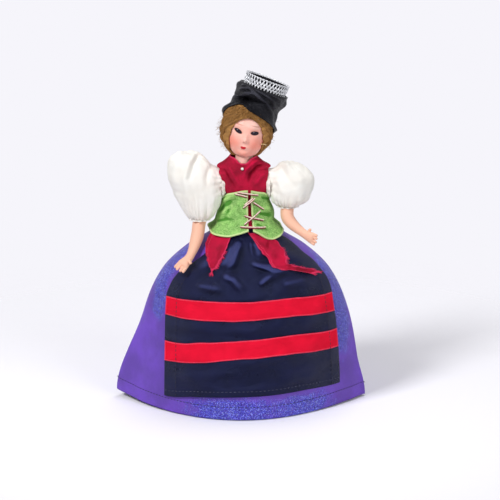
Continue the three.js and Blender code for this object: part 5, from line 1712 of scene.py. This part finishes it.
@dataclass
class Skirt:
    """Violet satin skirt of two panels, over a stiff petticoat."""

    fold: float = 0.9
    folds: int = 5
    thickness: float = 0.5

    def panel(self, facing: int, level: Array, share: Array, stand: float = 0.0) -> Array:
        """Points of a panel.

        Args:
            facing: -1 for the front panel and 1 for the back one.
            level: height on the bell.
            share: share of the way from the right seam to the left.
            stand: how far the points stand off the cloth.

        Returns:
            The points in millimetres.
        """
        depth = Bell.front if facing < 0 else Bell.back
        s, c = np.sin(math.pi * share), np.cos(math.pi * share)
        swing = ease(np.abs(c), 0.78, 0.92) if facing < 0 else s
        calm = ease(np.abs(c), 0.6, 0.8) if facing < 0 else 1.0
        wave = self.fold * np.sin(math.tau * self.folds * share) * swing * (1 - ease(level, 30, 75)) * s
        crease = 0.35 * ripple(share * 90 * (1 - level / 140), level, 34, 31 + facing)
        out = wave + stand + crease * calm * ease(level, 90, 70) * ease(s, 0, 0.3)
        y = facing * (GAP / 2 + (depth(level) + out) * s ** Bell.power(level))
        lift = mix(3.4, 0.5, share) * np.abs(c) ** 4 * (1 - ease(level, 0, 40))
        return xyz(Bell.centre(level) - (Bell.half(level) + out) * c, y, level + lift)

    @staticmethod
    def glitter(x: Array, z: Array, facing: int) -> Array:
        """Where the glitter has stuck: beside the apron and along the middle of the hem."""
        left = 50.5 - 0.1 * np.maximum(0, z - 30) - 0.5 * np.maximum(0, z - 62)
        right = -41.5 + 0.12 * np.maximum(0, z - 45) + 0.55 * np.maximum(0, z - 62)
        beside = bump(x, left, 4.5) * ease(z, 12, 40) + bump(x, right, 3.2) * ease(z, 36, 52)
        below = ease(z, 16, 5) * (bump(x, -4, 24) + 0.7 * bump(x, 34, 14))
        return np.clip(beside + below, 0, 1) if facing < 0 else 0.45 * ease(z, 30, 4)

    def build(self) -> None:
        """Makes the two panels, their hem stitches and the petticoat."""
        level = np.concatenate([column(0, 60, 90), column(60, Bell.top, 60)[1:]])
        for facing, word in ((-1, "front"), (1, "back")):
            grid = self.panel(facing, level, row(240))
            piece = cloth(f"skirt_{word}_cloth", grid, self.thickness, centre=(0, 0, 40))
            points = coordinates(piece)
            set_value(piece, "glitter", self.glitter(points[:, 0], points[:, 2], facing))
            declare_cloth(grid, 1.05)
            dress(piece, Finish.VIOLET, "torso", [f"skirt_{word}"])
            line = self.panel(facing, np.full(400, 6.4), np.linspace(0.005, 0.995, 400), 0.05)
            sew(f"skirt_{word}_hem", line, 1.9, 1.5, 0.16, Finish.STITCH)
        level = column(3, 90.5, 80)
        grid = Bell.ring(around(180), level, -mix(2.9, 2.3, ease(level, 60, Bell.top)))
        piece = cloth("petticoat_cloth", grid, 0.4, wrap=True, centre=(0, 0, 40))
        declare_cloth(grid, 1.05, True)
        dress(piece, Finish.MUSLIN, "torso", ["petticoat"])


APRON_FOLDS = (
    ([(-0.5, 77.3), (-2.5, 71.3), (-4.5, 66.3), (-9.5, 60.3)], 3.15, 2.08),
    ([(7.5, 77.3), (9, 72.3), (10.5, 66.3)], 2.62, 1.82),
    ([(4.5, 66.3), (7.5, 65.3), (14.5, 63.3), (29.5, 62.3)], 2.62, 1.69),
    ([(-9.5, 60.3), (-4, 57.8), (-0.5, 53.8), (4, 48.8)], 2.36, 1.82),
    ([(8.5, 54.8), (14.5, 59.8), (21.5, 61.3)], 1.84, 1.56),
    ([(-6.5, 78.3), (-13, 69.3), (-20.5, 62.3), (-26.5, 57.3)], 1.7, 2.34),
    ([(15.5, 75.3), (24.5, 69.3), (32.5, 66.3)], 1.31, 1.95),
    ([(4.5, 77.3), (5.5, 71.3), (7.5, 66.3)], 1.05, 0.91),
    ([(-4.5, 75.3), (-7.5, 68.3), (-13.5, 61.3)], 1.18, 1.3),
    ([(-22.5, 55.3), (-13.5, 53.3), (-4.5, 52.3)], 1.31, 1.82),
    ([(19.5, 55.3), (29.5, 57.3), (38.5, 55.3)], 1.05, 1.95),
)


@dataclass
class Apron:
    """Navy satin apron with two red ribbons, a waistband and the ends of the scarf lying on it."""

    top: float = 88.4
    base: float = 8.2
    left: Profile = Profile((8.6, -38), (30, -37.8), (47.4, -37.5), (56.7, -37), (62.7, -35), (68.3, -31.5),
                            (73.7, -24.5), (78.5, -18), (84, -12), (88.4, -8.5))
    right: Profile = Profile((8, 49.2), (28.1, 48.5), (57.5, 45.2), (63.4, 43.5), (71.9, 37.5), (78.5, 30),
                             (84.7, 21.5), (88.4, 14))
    hem: Profile = Profile((-37.8, 8.2), (-23, 10.5), (-8, 11.8), (2, 12.2), (12.8, 12.3), (29.5, 12.4),
                           (48.2, 11.4))
    ribbons: tuple[tuple[str, Profile, Profile], ...] = (
        ("upper_ribbon", Profile((-37.5, 48.4), (0, 49.8), (24.5, 50.9), (46.2, 49.2)),
         Profile((-36.5, 57.3), (-18, 58.3), (2.5, 58.8), (24.5, 59.5), (44.5, 58.2))),
        ("lower_ribbon", Profile((-38, 26), (2, 31.5), (24.5, 32.4), (47.9, 30.4)),
         Profile((-37.5, 35.5), (-18, 38.3), (2, 40.5), (24.5, 41.6), (46.9, 40.1))),
    )

    def smooth_face(self, x: Array, z: Array) -> Array:
        """Places on the front of the bell, on which the folds are drawn."""
        return xyz(x, Bell.front_y(x, z, 1.8), z)

    def drape(self, x: Array, z: Array) -> Array:
        """Height of the folds: pleats from the waist that meet the soft folds across the lap."""
        place = self.smooth_face(x, z)
        fan = np.arctan2(x - 2.6, self.top + 8 - z)
        fade = ease(z, 59.6, 66) * (1 - ease(z, 80, self.top))
        pleats = 0.45 * (0.5 + 0.5 * np.sin(12 * fan + 0.8)) * fade
        height = pleats + creases(place, APRON_FOLDS) * ease(z, 59.2, 62.5)
        soft = 0.8 * ripple(x * 0.8, z * 1.6, 24, 41) + 0.5 * ripple(x * 0.6, z * 1.5, 12, 43)
        return np.maximum(height, 0) + np.maximum(soft * ease(z, 12, 20) + 0.3, 0) * (1 - 0.6 * fade)

    def face(self, x: Array, z: Array, stand: Array | float) -> Array:
        """Points of the apron's outer face at places on its front."""
        return xyz(x, Bell.front_y(x, z, 2 * GAP + 0.7 + self.drape(x, z) + stand), z)

    def rows(self, z: Array, share: Array, stand: float = 0.0) -> Array:
        """Points of the apron by height and share of the way from its right edge to its left."""
        x = mix(self.left(z), self.right(z), share)
        return self.face(x, z + (self.hem(x) - self.base) * (1 - ease(z, self.base, 30)), stand)

    def build(self) -> None:
        """Makes the cloth, its stitches, the ribbons, the waistband and the scarf's ends."""
        z = np.concatenate([column(self.base, 58, 80), column(58, self.top, 120)[1:]])
        grid = self.rows(z, row(240))
        x, z = grid[..., 0], grid[..., 2]
        # Painted shade and highlight: the lit sides of the folds, their shadows and a broad sheen from the
        # drape, laid into the colour by the finish.
        shade = shading(self.smooth_face(x, z), APRON_FOLDS, (-1.3, 0, 2.2))
        fold = 0.62 * shade + 0.5 * (self.drape(x, z) - 0.8)
        piece = cloth("apron_cloth", grid, 0.4, centre=(0, 0, 40), fold=fold)
        declare_cloth(grid, 1.0)
        dress(piece, Finish.NAVY, "torso", ["apron"])
        for name, low, high in self.ribbons:
            self.band(name, low, high)
        for share, name in ((0.065, "right"), (0.955, "left")):
            line = self.rows(np.linspace(self.base + 1, 71, 400), np.full(400, share), 0.2)
            for _, low, high in self.ribbons:
                line[(line[:, 2] > low(line[:, 0]) - 0.3) & (line[:, 2] < high(line[:, 0]) + 0.3), 1] -= 0.75
            sew(f"apron_{name}_seam", line, 2.1, 1.4, 0.15, Finish.STITCH)
        hem = self.rows(np.full(400, self.base + 2.9), np.linspace(0.01, 0.99, 400), 0.1)
        sew("apron_hem", hem, 2.1, 1.3, 0.14, Finish.GREY)
        self.waistband()
        self.scarf_ends()

    def band(self, name: str, low: Profile, high: Profile) -> None:
        """Makes one ribbon and the stitches along its edges."""
        up, share = column(0, 1, 28), row(220)
        x = mix(-37.2, 46, share)
        for _ in range(2):
            z = mix(low(x), high(x), up)
            x = mix(self.left(z), self.right(z), share)
        grid = self.face(x, z, GAP + 0.3 + 0.22 * (0.5 + 0.5 * ripple(x, z, 9, 44)))
        piece = cloth(f"{name}_cloth", grid, 0.25, centre=(0, 0, 40))
        declare_cloth(grid)
        dress(piece, Finish.RIBBON, "torso", [name])
        for part, edge in (("top", 26), ("bottom", 1)):
            sew(f"{name}_{part}_stitches", grid[edge] + np.array([0, -0.06, 0]), 1.6, 0.9, 0.07, Finish.ROSE)

    def waistband(self) -> None:
        """Makes the band that ties the apron at the waist."""
        turn = around(160)
        grid = Bell.ring(turn, column(self.top + GAP, self.top + GAP + 2.8, 10), 2 * GAP + 0.6)
        grid[..., 1] += 0.12 * np.sin(turn * 40)
        piece = cloth("waistband_cloth", grid, 0.4, wrap=True, centre=(2.6, 0, 90))
        declare_cloth(grid, 1.0, True)
        dress(piece, Finish.NAVY, "torso", ["apron_waistband"])

    def scarf_ends(self) -> None:
        """Makes the two frayed ends of the scarf on the apron."""
        ends = {
            Side.RIGHT: ([(-13.5, 88.2), (-17.5, 82.5), (-17, 77.5), (-15, 72.9)],
                         [(-4.5, 87.6), (-8, 80.5), (-11, 75.9), (-13.2, 72.8)]),
            Side.LEFT: ([(3.2, 88.9), (8.5, 83), (12.5, 78.5), (15.5, 74.7), (24.5, 72.2), (34, 69.3)],
                        [(11.8, 87.6), (17, 84.6), (22.2, 78.8), (23, 75.1), (29.5, 72.5), (38.5, 69.6)]),
        }
        rows, columns = 110, 36
        down, share = np.linspace(0, 1, rows), row(columns)
        for side, edges in ends.items():
            near, far = (spline([(x, 0, z) for x, z in edge], rows) for edge in edges)
            for edge, size, wave, seed in ((near, 0.3, 5, 52), (far, 0.4, 4, 53)):
                uneven = size * ripple(down * 30, down, wave, seed) * ease(down, 0, 0.3)
                edge += uneven[:, None] * np.array([1, 0, 0.6])
            flat = near[:, None] + (far - near)[:, None] * share[..., None]
            x, z = flat[..., 0], flat[..., 2]
            curl = 0.45 * bump(share, 0.15, 0.12) + 0.32 * ripple(x, z, 6, 51) + 0.1
            grid = self.face(x, z, 1.5 * GAP + 0.5 + curl)
            # The curl is also painted: shade where the end lies low and a highlight where it curls up.
            piece = cloth(f"{side.word}_scarf_end_cloth", grid, 0.4, centre=(0, 0, 40), fold=2 * curl - 0.2)
            fray = self.fringe(side, grid)
            declare_cloth(grid)
            dress(piece, Finish.COTTON, "torso", [f"{side.word}_scarf_end"])
            dress(fray, Finish.COTTON, "torso")
            seam = grid[2:-3, 5] + np.array([0, -0.07, 0])
            sew(f"{side.word}_scarf_end_seam", seam, 1.0, 0.8, 0.09, Finish.ROSE)

    @staticmethod
    def fringe(side: Side, grid: Array) -> Piece:
        """Loose threads at the cut tip and along the far edge of a scarf end."""
        rng = np.random.default_rng(SEED + 60 + side.value)
        steps = np.linspace(0, 1, 6)
        lines = []
        for start, way in zip(grid[-1], unit(grid[-1] - grid[-8])):
            way = way * rng.uniform(0.8, 3.6)
            bend = rng.normal(0, 0.3, 3) * np.array([1, 0.3, 1])
            lines.append([start + way * t + bend * t * t for t in steps])
        for start, way in zip(grid[34:-4, -1], unit(grid[34:-4, -1] - grid[34:-4, -6])):
            way = way * rng.uniform(0.3, 1.6) + rng.normal(0, 0.16, 3)
            lines.append([start + way * t for t in steps])
        return threads(f"{side.word}_scarf_fray", np.array(lines), 0.09, Finish.COTTON, sides=4)


FELT_FOLDS = (
    ([(-5.2, 96.8), (-8.5, 93.3), (-12.2, 89.45)], -1.26, 0.9),
    ([(-5.2, 96.8), (-6, 92.8), (-7, 88.8)], -1.12, 0.8),
    ([(-7.5, 94.3), (-10, 89.3)], 0.84, 1),
    ([(-9.5, 95.8), (-4.5, 98.8), (1, 99.8)], 0.7, 1.2),
    ([(-12.5, 86.3), (-7.5, 87.3), (-1.5, 86.3)], -0.7, 1),
    ([(9.8, 98.3), (13.5, 97.3), (16.5, 94.8), (17.5, 92)], -0.98, 0.8),
    ([(8.5, 90.3), (13.5, 89.3), (17, 86.8)], -0.84, 0.9),
    ([(10.5, 93.3), (15.5, 91.8)], 0.7, 1.2),
    ([(7.5, 85.3), (11.5, 82.8), (15.5, 79.3)], -0.7, 0.9),
)


@dataclass
class Bodice:
    """Green felt bodice, laced in front."""

    trunk: Trunk
    thickness: float = 0.9
    gap_x: float = 4.7
    gap_half: float = 1.0
    wave: float = 0.9
    half: Profile = Profile((84, 20.5), (88, 18), (91, 15.6), (93.5, 14.2), (96.5, 13), (99.5, 12.2),
                            (103.6, 11.3), (109.2, 11.2))
    depth: Profile = Profile((84, 18.9), (88, 16.6), (91, 14), (94, 11.7), (98, 10.5), (109.2, 10.2))
    hem: Profile = Profile((-3.2, 88), (-1.3, 87.6), (-0.55, 87), (0.15, 90.2), (0.75, 85.2), (1.3, 87.4),
                           (3.2, 88))
    top: Profile = Profile((-3.2, 106), (-1.571, 103.6), (-0.75, 107.4), (0, 109.2), (0.85, 107.4),
                           (1.571, 103.6), (3.2, 106))

    def point(self, angle: Array, z: Array, stand: Array | float) -> Array:
        """Points on the outer face of the felt."""
        wave = self.wave * np.sin(6 * angle + 0.8) * (1 - ease(z, 86, 93.5))
        left = 0.8 * bump(z, 97, 3) - 0.9 * bump(z, 92, 2)
        right = 0.7 * bump(z, 100, 4) + bump(z, 94.5, 3.5) + ease(z, 90, 87)
        bulge = np.where(np.sin(angle) > 0, left, right) * np.abs(np.sin(angle))
        x = self.trunk.x + (self.half(z) + wave + bulge + stand) * np.sin(angle)
        return xyz(x, -(self.depth(z) + wave + stand) * np.cos(angle), z)

    def angle(self, x: Array, z: Array) -> Array:
        """Angle at which the felt passes a place on its front."""
        return np.arcsin(np.clip((x - self.trunk.x) / self.half(z), -1, 1))

    def build(self) -> None:
        """Makes the felt and its lacing."""
        share, along = column(0, 1, 90), row(340)
        middle = mix(self.gap_x - self.gap_half, self.gap_x + self.gap_half, along)
        turn = self.angle(middle, np.array(93.0)) - math.tau * along
        angle = np.where(turn < -math.pi, turn + math.tau, turn)
        z = mix(self.hem(angle), self.top(angle), share**1.25)
        roll = 0.5 * ease(share, 0.9, 1.0) + 0.35 * ease(share, 0.08, 0.0)
        flat = self.point(angle, z, 0.0)
        front = ease(-flat[..., 1], 0, 4)
        folds = creases(flat, FELT_FOLDS) + 0.16 * ripple(flat[..., 0], z, 5, 71)
        folds = np.maximum(folds, mix(-1.2, -0.35, ease(z, 95, 99)))
        # Painted shade and highlight on the felt: its folds and their shadows, laid into the colour by the
        # finish.
        shade = 0.5 * folds + 0.9 * shading(flat, FELT_FOLDS, (-0.9, 0, 1.3))
        grid = self.point(angle, z, roll + front * folds)
        middle = (self.trunk.x, 0, 95)
        piece = cloth("bodice_felt", grid, self.thickness, centre=middle, fold=1.3 * front * shade)
        declare_cloth(grid)
        dress(piece, Finish.FELT, "torso", ["felt_bodice"])
        z, x = column(90.6, 101, 24), np.linspace(2.2, 7.2, 12)[None, :]
        strip = self.point(self.angle(x, z), z, -1.35)
        tongue = cloth("scarf_tongue", strip, 0.25, centre=middle)
        declare_cloth(strip)
        dress(tongue, Finish.COTTON, "torso")
        self.lace()

    def lace(self) -> None:
        """Makes the lacing: crossing strands, each of a cream and a wine-red cord side by side."""
        strands = (
            ((-1.4, 108.6, 0.0), (3.5, 108.0, 0.3), (8.2, 106.9, 0.0)),
            ((-2.7, 107.6, 0.0), (0.4, 107.1, 0.0), (3.1, 106.4, 0.0)),
            ((1.2, 100.8, 0.0), (4.4, 103.6, 0.5), (6.6, 105.4, 0.2)),
            ((1.8, 102.2, 0.0), (4.2, 104.4, 0.4), (5.8, 105.7, 0.2)),
            ((6.0, 103.5, 0.2), (8.2, 101.6, 0.1), (10.6, 99.4, 0.0)),
            ((1.8, 92.8, 0.0), (5.4, 95.8, 0.55), (9.1, 98.8, 0.0)),
            ((1.8, 96.9, 0.0), (4.7, 95.9, 0.0), (8.0, 95.2, 0.2), (10.8, 94.2, 0.0)),
            ((-0.1, 91.9, 0.0), (5.6, 91.7, 0.2), (12.2, 91.0, 0.0)),
        )
        cords = ((Finish.CREAM, "cream", 0.0, 0.2, 0.3), (Finish.WINE, "wine", -0.5, 0.0, 0.26))
        for finish, name, drop, lift, radius in cords:
            lines = []
            for strand in strands:
                path = spline(strand, 24)
                z = path[:, 1] + drop
                lines.append(self.point(self.angle(path[:, 0], z), z, 0.55 + lift + path[:, 2]))
            made = threads(f"lacing_{name}", np.array(lines), radius, finish, sides=8)
            dress(made, finish, "torso", ["bodice_lacing"] if finish is Finish.CREAM else [])


@dataclass
class Sleeve:
    """Ivory puff sleeve, gathered at the armhole and at the cuff."""

    side: Side
    trunk: Trunk
    stations: Sequence[tuple[float, float, float, float, float]]
    length: float
    folds: Sequence[tuple]
    limit: Profile = Profile((6, 12), (10, 12.6), (12, 13.1), (15, 14.4), (18, 15.6), (24, 18))

    def build(self) -> None:
        """Makes the sleeve in one skin and folds it."""
        sign, trunk, word = self.side.value, self.trunk, self.side.word
        table = np.array(self.stations, float)
        steps = np.linspace(0, 1, len(table))
        share = np.linspace(0, 1, 90)
        z, mx, hx, my, hy = (Profile(*zip(steps, values))(share)[:, None] for values in table.T)
        turn = around(96)
        puff = closed("puff", self.limited(xyz(mx + hx * np.cos(turn), my + hy * np.sin(turn), z)))
        out = column(1.6, 12, 30)
        radius = Profile((1.6, 5.9), (5.2, 6.3), (9.6, 8.2), (12, 8.6))(out)
        gather = closed("gather", xyz(trunk.x + sign * (7.8 + out), radius * np.cos(turn),
                                      trunk.shoulder_z + radius * np.sin(turn)))
        piece = moulded(f"{word}_sleeve_cloth", [puff, gather], 0.45, 6)
        self.crease(piece)
        self.open_ends(piece)
        wall = piece.modifiers.new("wall", "SOLIDIFY")
        wall.thickness, wall.offset = 0.25 * MM, -1
        self.ruffle()
        dress(piece, Finish.MUSLIN, f"{word}_arm", [f"{word}_sleeve"], ride=False)
        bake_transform(piece)

    def limited(self, points: Array) -> Array:
        """Keeps points of the sleeve off the clothes of the body while the arm swings."""
        far = np.hypot(points[..., 1], points[..., 2] - self.trunk.shoulder_z)
        points[..., 0] = self.trunk.outside(points[..., 0], self.side.value, self.limit(far))
        return points

    def crease(self, piece: Piece) -> None:
        """Draws the gathers and the soft creases into the sleeve."""
        table = np.array(self.stations, float)
        low, high = table[0, 0], table[-1, 0]
        points, out = coordinates(piece), normals(piece)
        middle_x = Profile(*zip(table[:, 0], table[:, 1]))(points[:, 2])
        bearing = np.arctan2(points[:, 1] - table[0, 3], points[:, 0] - middle_x)
        rise = (points[:, 2] - low) / (high - low)
        pleat = np.abs(np.sin(9 * bearing + 1.5 * np.sin(3 * bearing))) ** 0.7 - 0.6
        height = pleat * (0.9 * ease(rise, 0.5, 0.06) + 0.5 * ease(rise, 0.75, 1.0))
        near = np.abs(points[:, 0] - self.trunk.x)
        spin = np.arctan2(points[:, 1], points[:, 2] - self.trunk.shoulder_z)
        height += 0.45 * (np.abs(np.sin(8 * spin)) - 0.5) * ease(near, 19, 13)
        x, y, z = points.T
        height += 0.34 * ripple(x * 1.4 + y, z * 0.5, 14, 80 + self.side.value)
        height += 0.08 * ripple(x + y, z, 5, 90 + self.side.value)
        height += 1.45 * creases(points, self.folds) * ease(out[:, 1], 0.1, -0.3)
        points = points + out * height[:, None] * ease(near, 9.4, 11)[:, None]
        set_uv(piece, "thread", np.stack([bearing * 10, points[:, 2]], -1))
        move_to(piece, points)

    def open_ends(self, piece: Piece) -> None:
        """Opens the sleeve where the arm passes its cuff and its armhole."""
        low = self.stations[0][0]
        work = bmesh.new()
        work.from_mesh(piece.data)
        gone = []
        for f in work.faces:
            c = f.calc_center_median() / MM
            cuff = c.z < low + 0.5 and abs(f.normal.z) > 0.5
            if cuff or abs(c.x - self.trunk.x) < 9.9 and abs(f.normal.x) > 0.6:
                gone.append(f)
        bmesh.ops.delete(work, geom=gone, context="FACES")
        work.to_mesh(piece.data)
        work.free()

    def ruffle(self) -> Piece:
        """Makes the narrow frill below the cuff."""
        z0, mx, hx, my, hy = self.stations[0]
        turn, down = around(150), column(0, 1, 10)
        flare = mix(-0.5, 0.7, down) + 0.35 * down * np.sin(11 * turn)
        grid = xyz(mx + (hx + flare) * np.cos(turn), my + (hy + flare) * np.sin(turn), z0 + 0.9 - 1.1 * down)
        piece = cloth(f"{self.side.word}_cuff_frill", grid[::-1], 0.25, wrap=True)
        dress(piece, Finish.MUSLIN, f"{self.side.word}_arm")
        return piece


# Studio


@dataclass
class Studio:
    """Camera, pale floor and soft lamps. Lamps are placed in metres."""

    elevation: float = 17.0
    distance: float = 3000.0
    across: float = 4.5
    up: float = 72.3
    width: float = 250.0
    floor: Colour = srgb(246, 245, 251)

    def camera(self) -> None:
        """Puts the camera at the picture's angle."""
        data = bpy.data.cameras.new("camera")
        camera = bpy.data.objects.new("camera", data)
        bpy.context.scene.collection.objects.link(camera)
        data.sensor_width = 36
        data.lens = 36 * self.distance / self.width
        data.clip_start, data.clip_end = 0.5, 20
        e = math.radians(self.elevation)
        way = Vector((0, -math.cos(e), math.sin(e)))
        upright = Vector((0, math.sin(e), math.cos(e)))
        middle = Vector((self.across, 0, 0)) + upright * self.up
        camera.location = (middle + way * self.distance) * MM
        camera.rotation_euler = way.to_track_quat("Z", "Y").to_euler()
        bpy.context.scene.camera = camera

    def lamp(self, name: str, place: Point, size: float, power: float) -> None:
        """Adds a soft square lamp that faces the doll."""
        data = bpy.data.lights.new(name, "AREA")
        data.size, data.energy = size, power
        lamp = bpy.data.objects.new(name, data)
        bpy.context.scene.collection.objects.link(lamp)
        lamp.location = place
        lamp.rotation_euler = (Vector(place) - Vector((0, 0, 0.07))).to_track_quat("Z", "Y").to_euler()

    def build(self) -> None:
        """Makes the camera, the floor, the world and the lamps."""
        self.camera()
        bpy.context.scene.view_settings.view_transform = "Standard"
        corners = np.array([(-1, -1, 0), (1, -1, 0), (1, 1, 0), (-1, 1, 0)]) * 2500.0 - (0, 0, 0.4)
        plane = new_piece("floor", corners, [[0, 1, 2, 3]])
        material, n, shader = new_material("pale floor")
        n.fill(shader, {"Base Color": n.blend(n.noise(n.here(), 0.004), self.floor, srgb(249, 248, 253)),
                        "Roughness": 0.9, "Alpha": n.spread(n.length(n.here()), 260.0, 95.0)})
        plane.data.materials.append(material)
        self.world()
        self.lamp("key", (-0.75, -0.75, 1.0), 0.35, 14.5)
        self.lamp("fill", (0.8, -0.9, 0.45), 0.7, 6.2)
        self.lamp("top", (0.15, 0.3, 1.2), 0.6, 4.5)

    def world(self) -> None:
        """Makes the world: the floor's colour where it is seen, and a dim light otherwise."""
        world = bpy.data.worlds.new("studio")
        bpy.context.scene.world = world
        world.use_nodes = True
        n = Nodes(world.node_tree)
        light = n.fill(world.node_tree.nodes["Background"], {"Color": (0.97, 0.97, 1.0), "Strength": 0.25})
        path = n.add("ShaderNodeLightPath").outputs
        sharp = n.math("MAXIMUM", path["Is Glossy Ray"], path["Is Transmission Ray"])
        both = n.make("ShaderNodeMixShader", {
            0: n.math("MAXIMUM", path["Is Camera Ray"], sharp), 1: light.outputs[0],
            2: n.make("ShaderNodeBackground", {"Color": self.floor})})
        n.put(world.node_tree.nodes["World Output"].inputs[0], both)


def main() -> None:
    """Builds the doll piece by piece."""
    logging.basicConfig(level=logging.INFO, format="%(name)s: %(message)s")
    Studio().build()
    trunk, head = Trunk(), Head()
    wig = Wig(head)
    for part in (trunk, head, wig, Headdress(head, wig)):
        part.build()
    Arm(Side.RIGHT, trunk, (-20, -4.4, 93.5), (-21.6, -9.2, 85.5), (-25.2, -17.4, 77.6), (-28.6, -20.4, 74.2),
        (-24.8, -22.2, 75.6), (0.1, -0.75, 0.62), 4.6).build()
    Arm(Side.LEFT, trunk, (22.6, -3.2, 100.4), (23.2, -7, 94.4), (31.2, -15.6, 88.8), (35.2, -18.2, 87.2),
        (34.2, -17, 91.4), (-0.5, -0.8, 0.1), 3.4).build()
    for side in Side:
        Leg(side, trunk).build()
    Skirt().build()
    Apron().build()
    Scarf(trunk).build()
    Bodice(trunk).build()
    Sleeve(Side.RIGHT, trunk, (
        (93.4, -20.4, 4.8, -4.4, 4.8), (96.2, -20.3, 7.6, -3.4, 7.4), (100.5, -20.3, 10.3, -2.2, 9.4),
        (106, -20.6, 12.7, -1.2, 10.6), (112, -22.6, 13.1, -0.6, 11), (118.5, -25, 11.4, -0.4, 9.4),
        (123.4, -26.4, 8.6, 0, 6.8), (126, -26.6, 5, 0, 3.8)), 46, (
            ([(-21.5, 121.3), (-25.5, 114.8), (-27.5, 107.3), (-25.5, 97.3), (-22, 90.3)], 0.8, 1.6),
            ([(-19.5, 121), (-23.3, 114.5), (-25.2, 107.3), (-23.3, 98)], -0.7, 1.3),
            ([(-31, 116), (-33, 109), (-31, 101)], 0.5, 1.5),
            ([(-15, 114), (-17, 107), (-17, 99)], -0.5, 1.2))).build()
    Sleeve(Side.LEFT, trunk, (
        (99.6, 23.2, 5, -2.6, 4.8), (101.6, 23.4, 8.2, -2, 7.4), (104.6, 23.6, 10.9, -1.2, 9.4),
        (109, 24.4, 11.8, -0.6, 10.2), (113.6, 25, 11.1, -0.4, 9.6), (117.6, 24.6, 8.2, 0, 7),
        (120.8, 24, 4.2, 0, 3.8)), 36, (
            ([(21.5, 115.8), (24.5, 111.3), (29.5, 107.3), (33.5, 105.3)], 0.8, 1.4),
            ([(20, 113), (23, 107), (27.5, 102), (31, 100)], -0.7, 1.3),
            ([(18, 108), (20, 102), (24, 97)], 0.5, 1.2))).build()


if __name__ == "__main__":
    main()
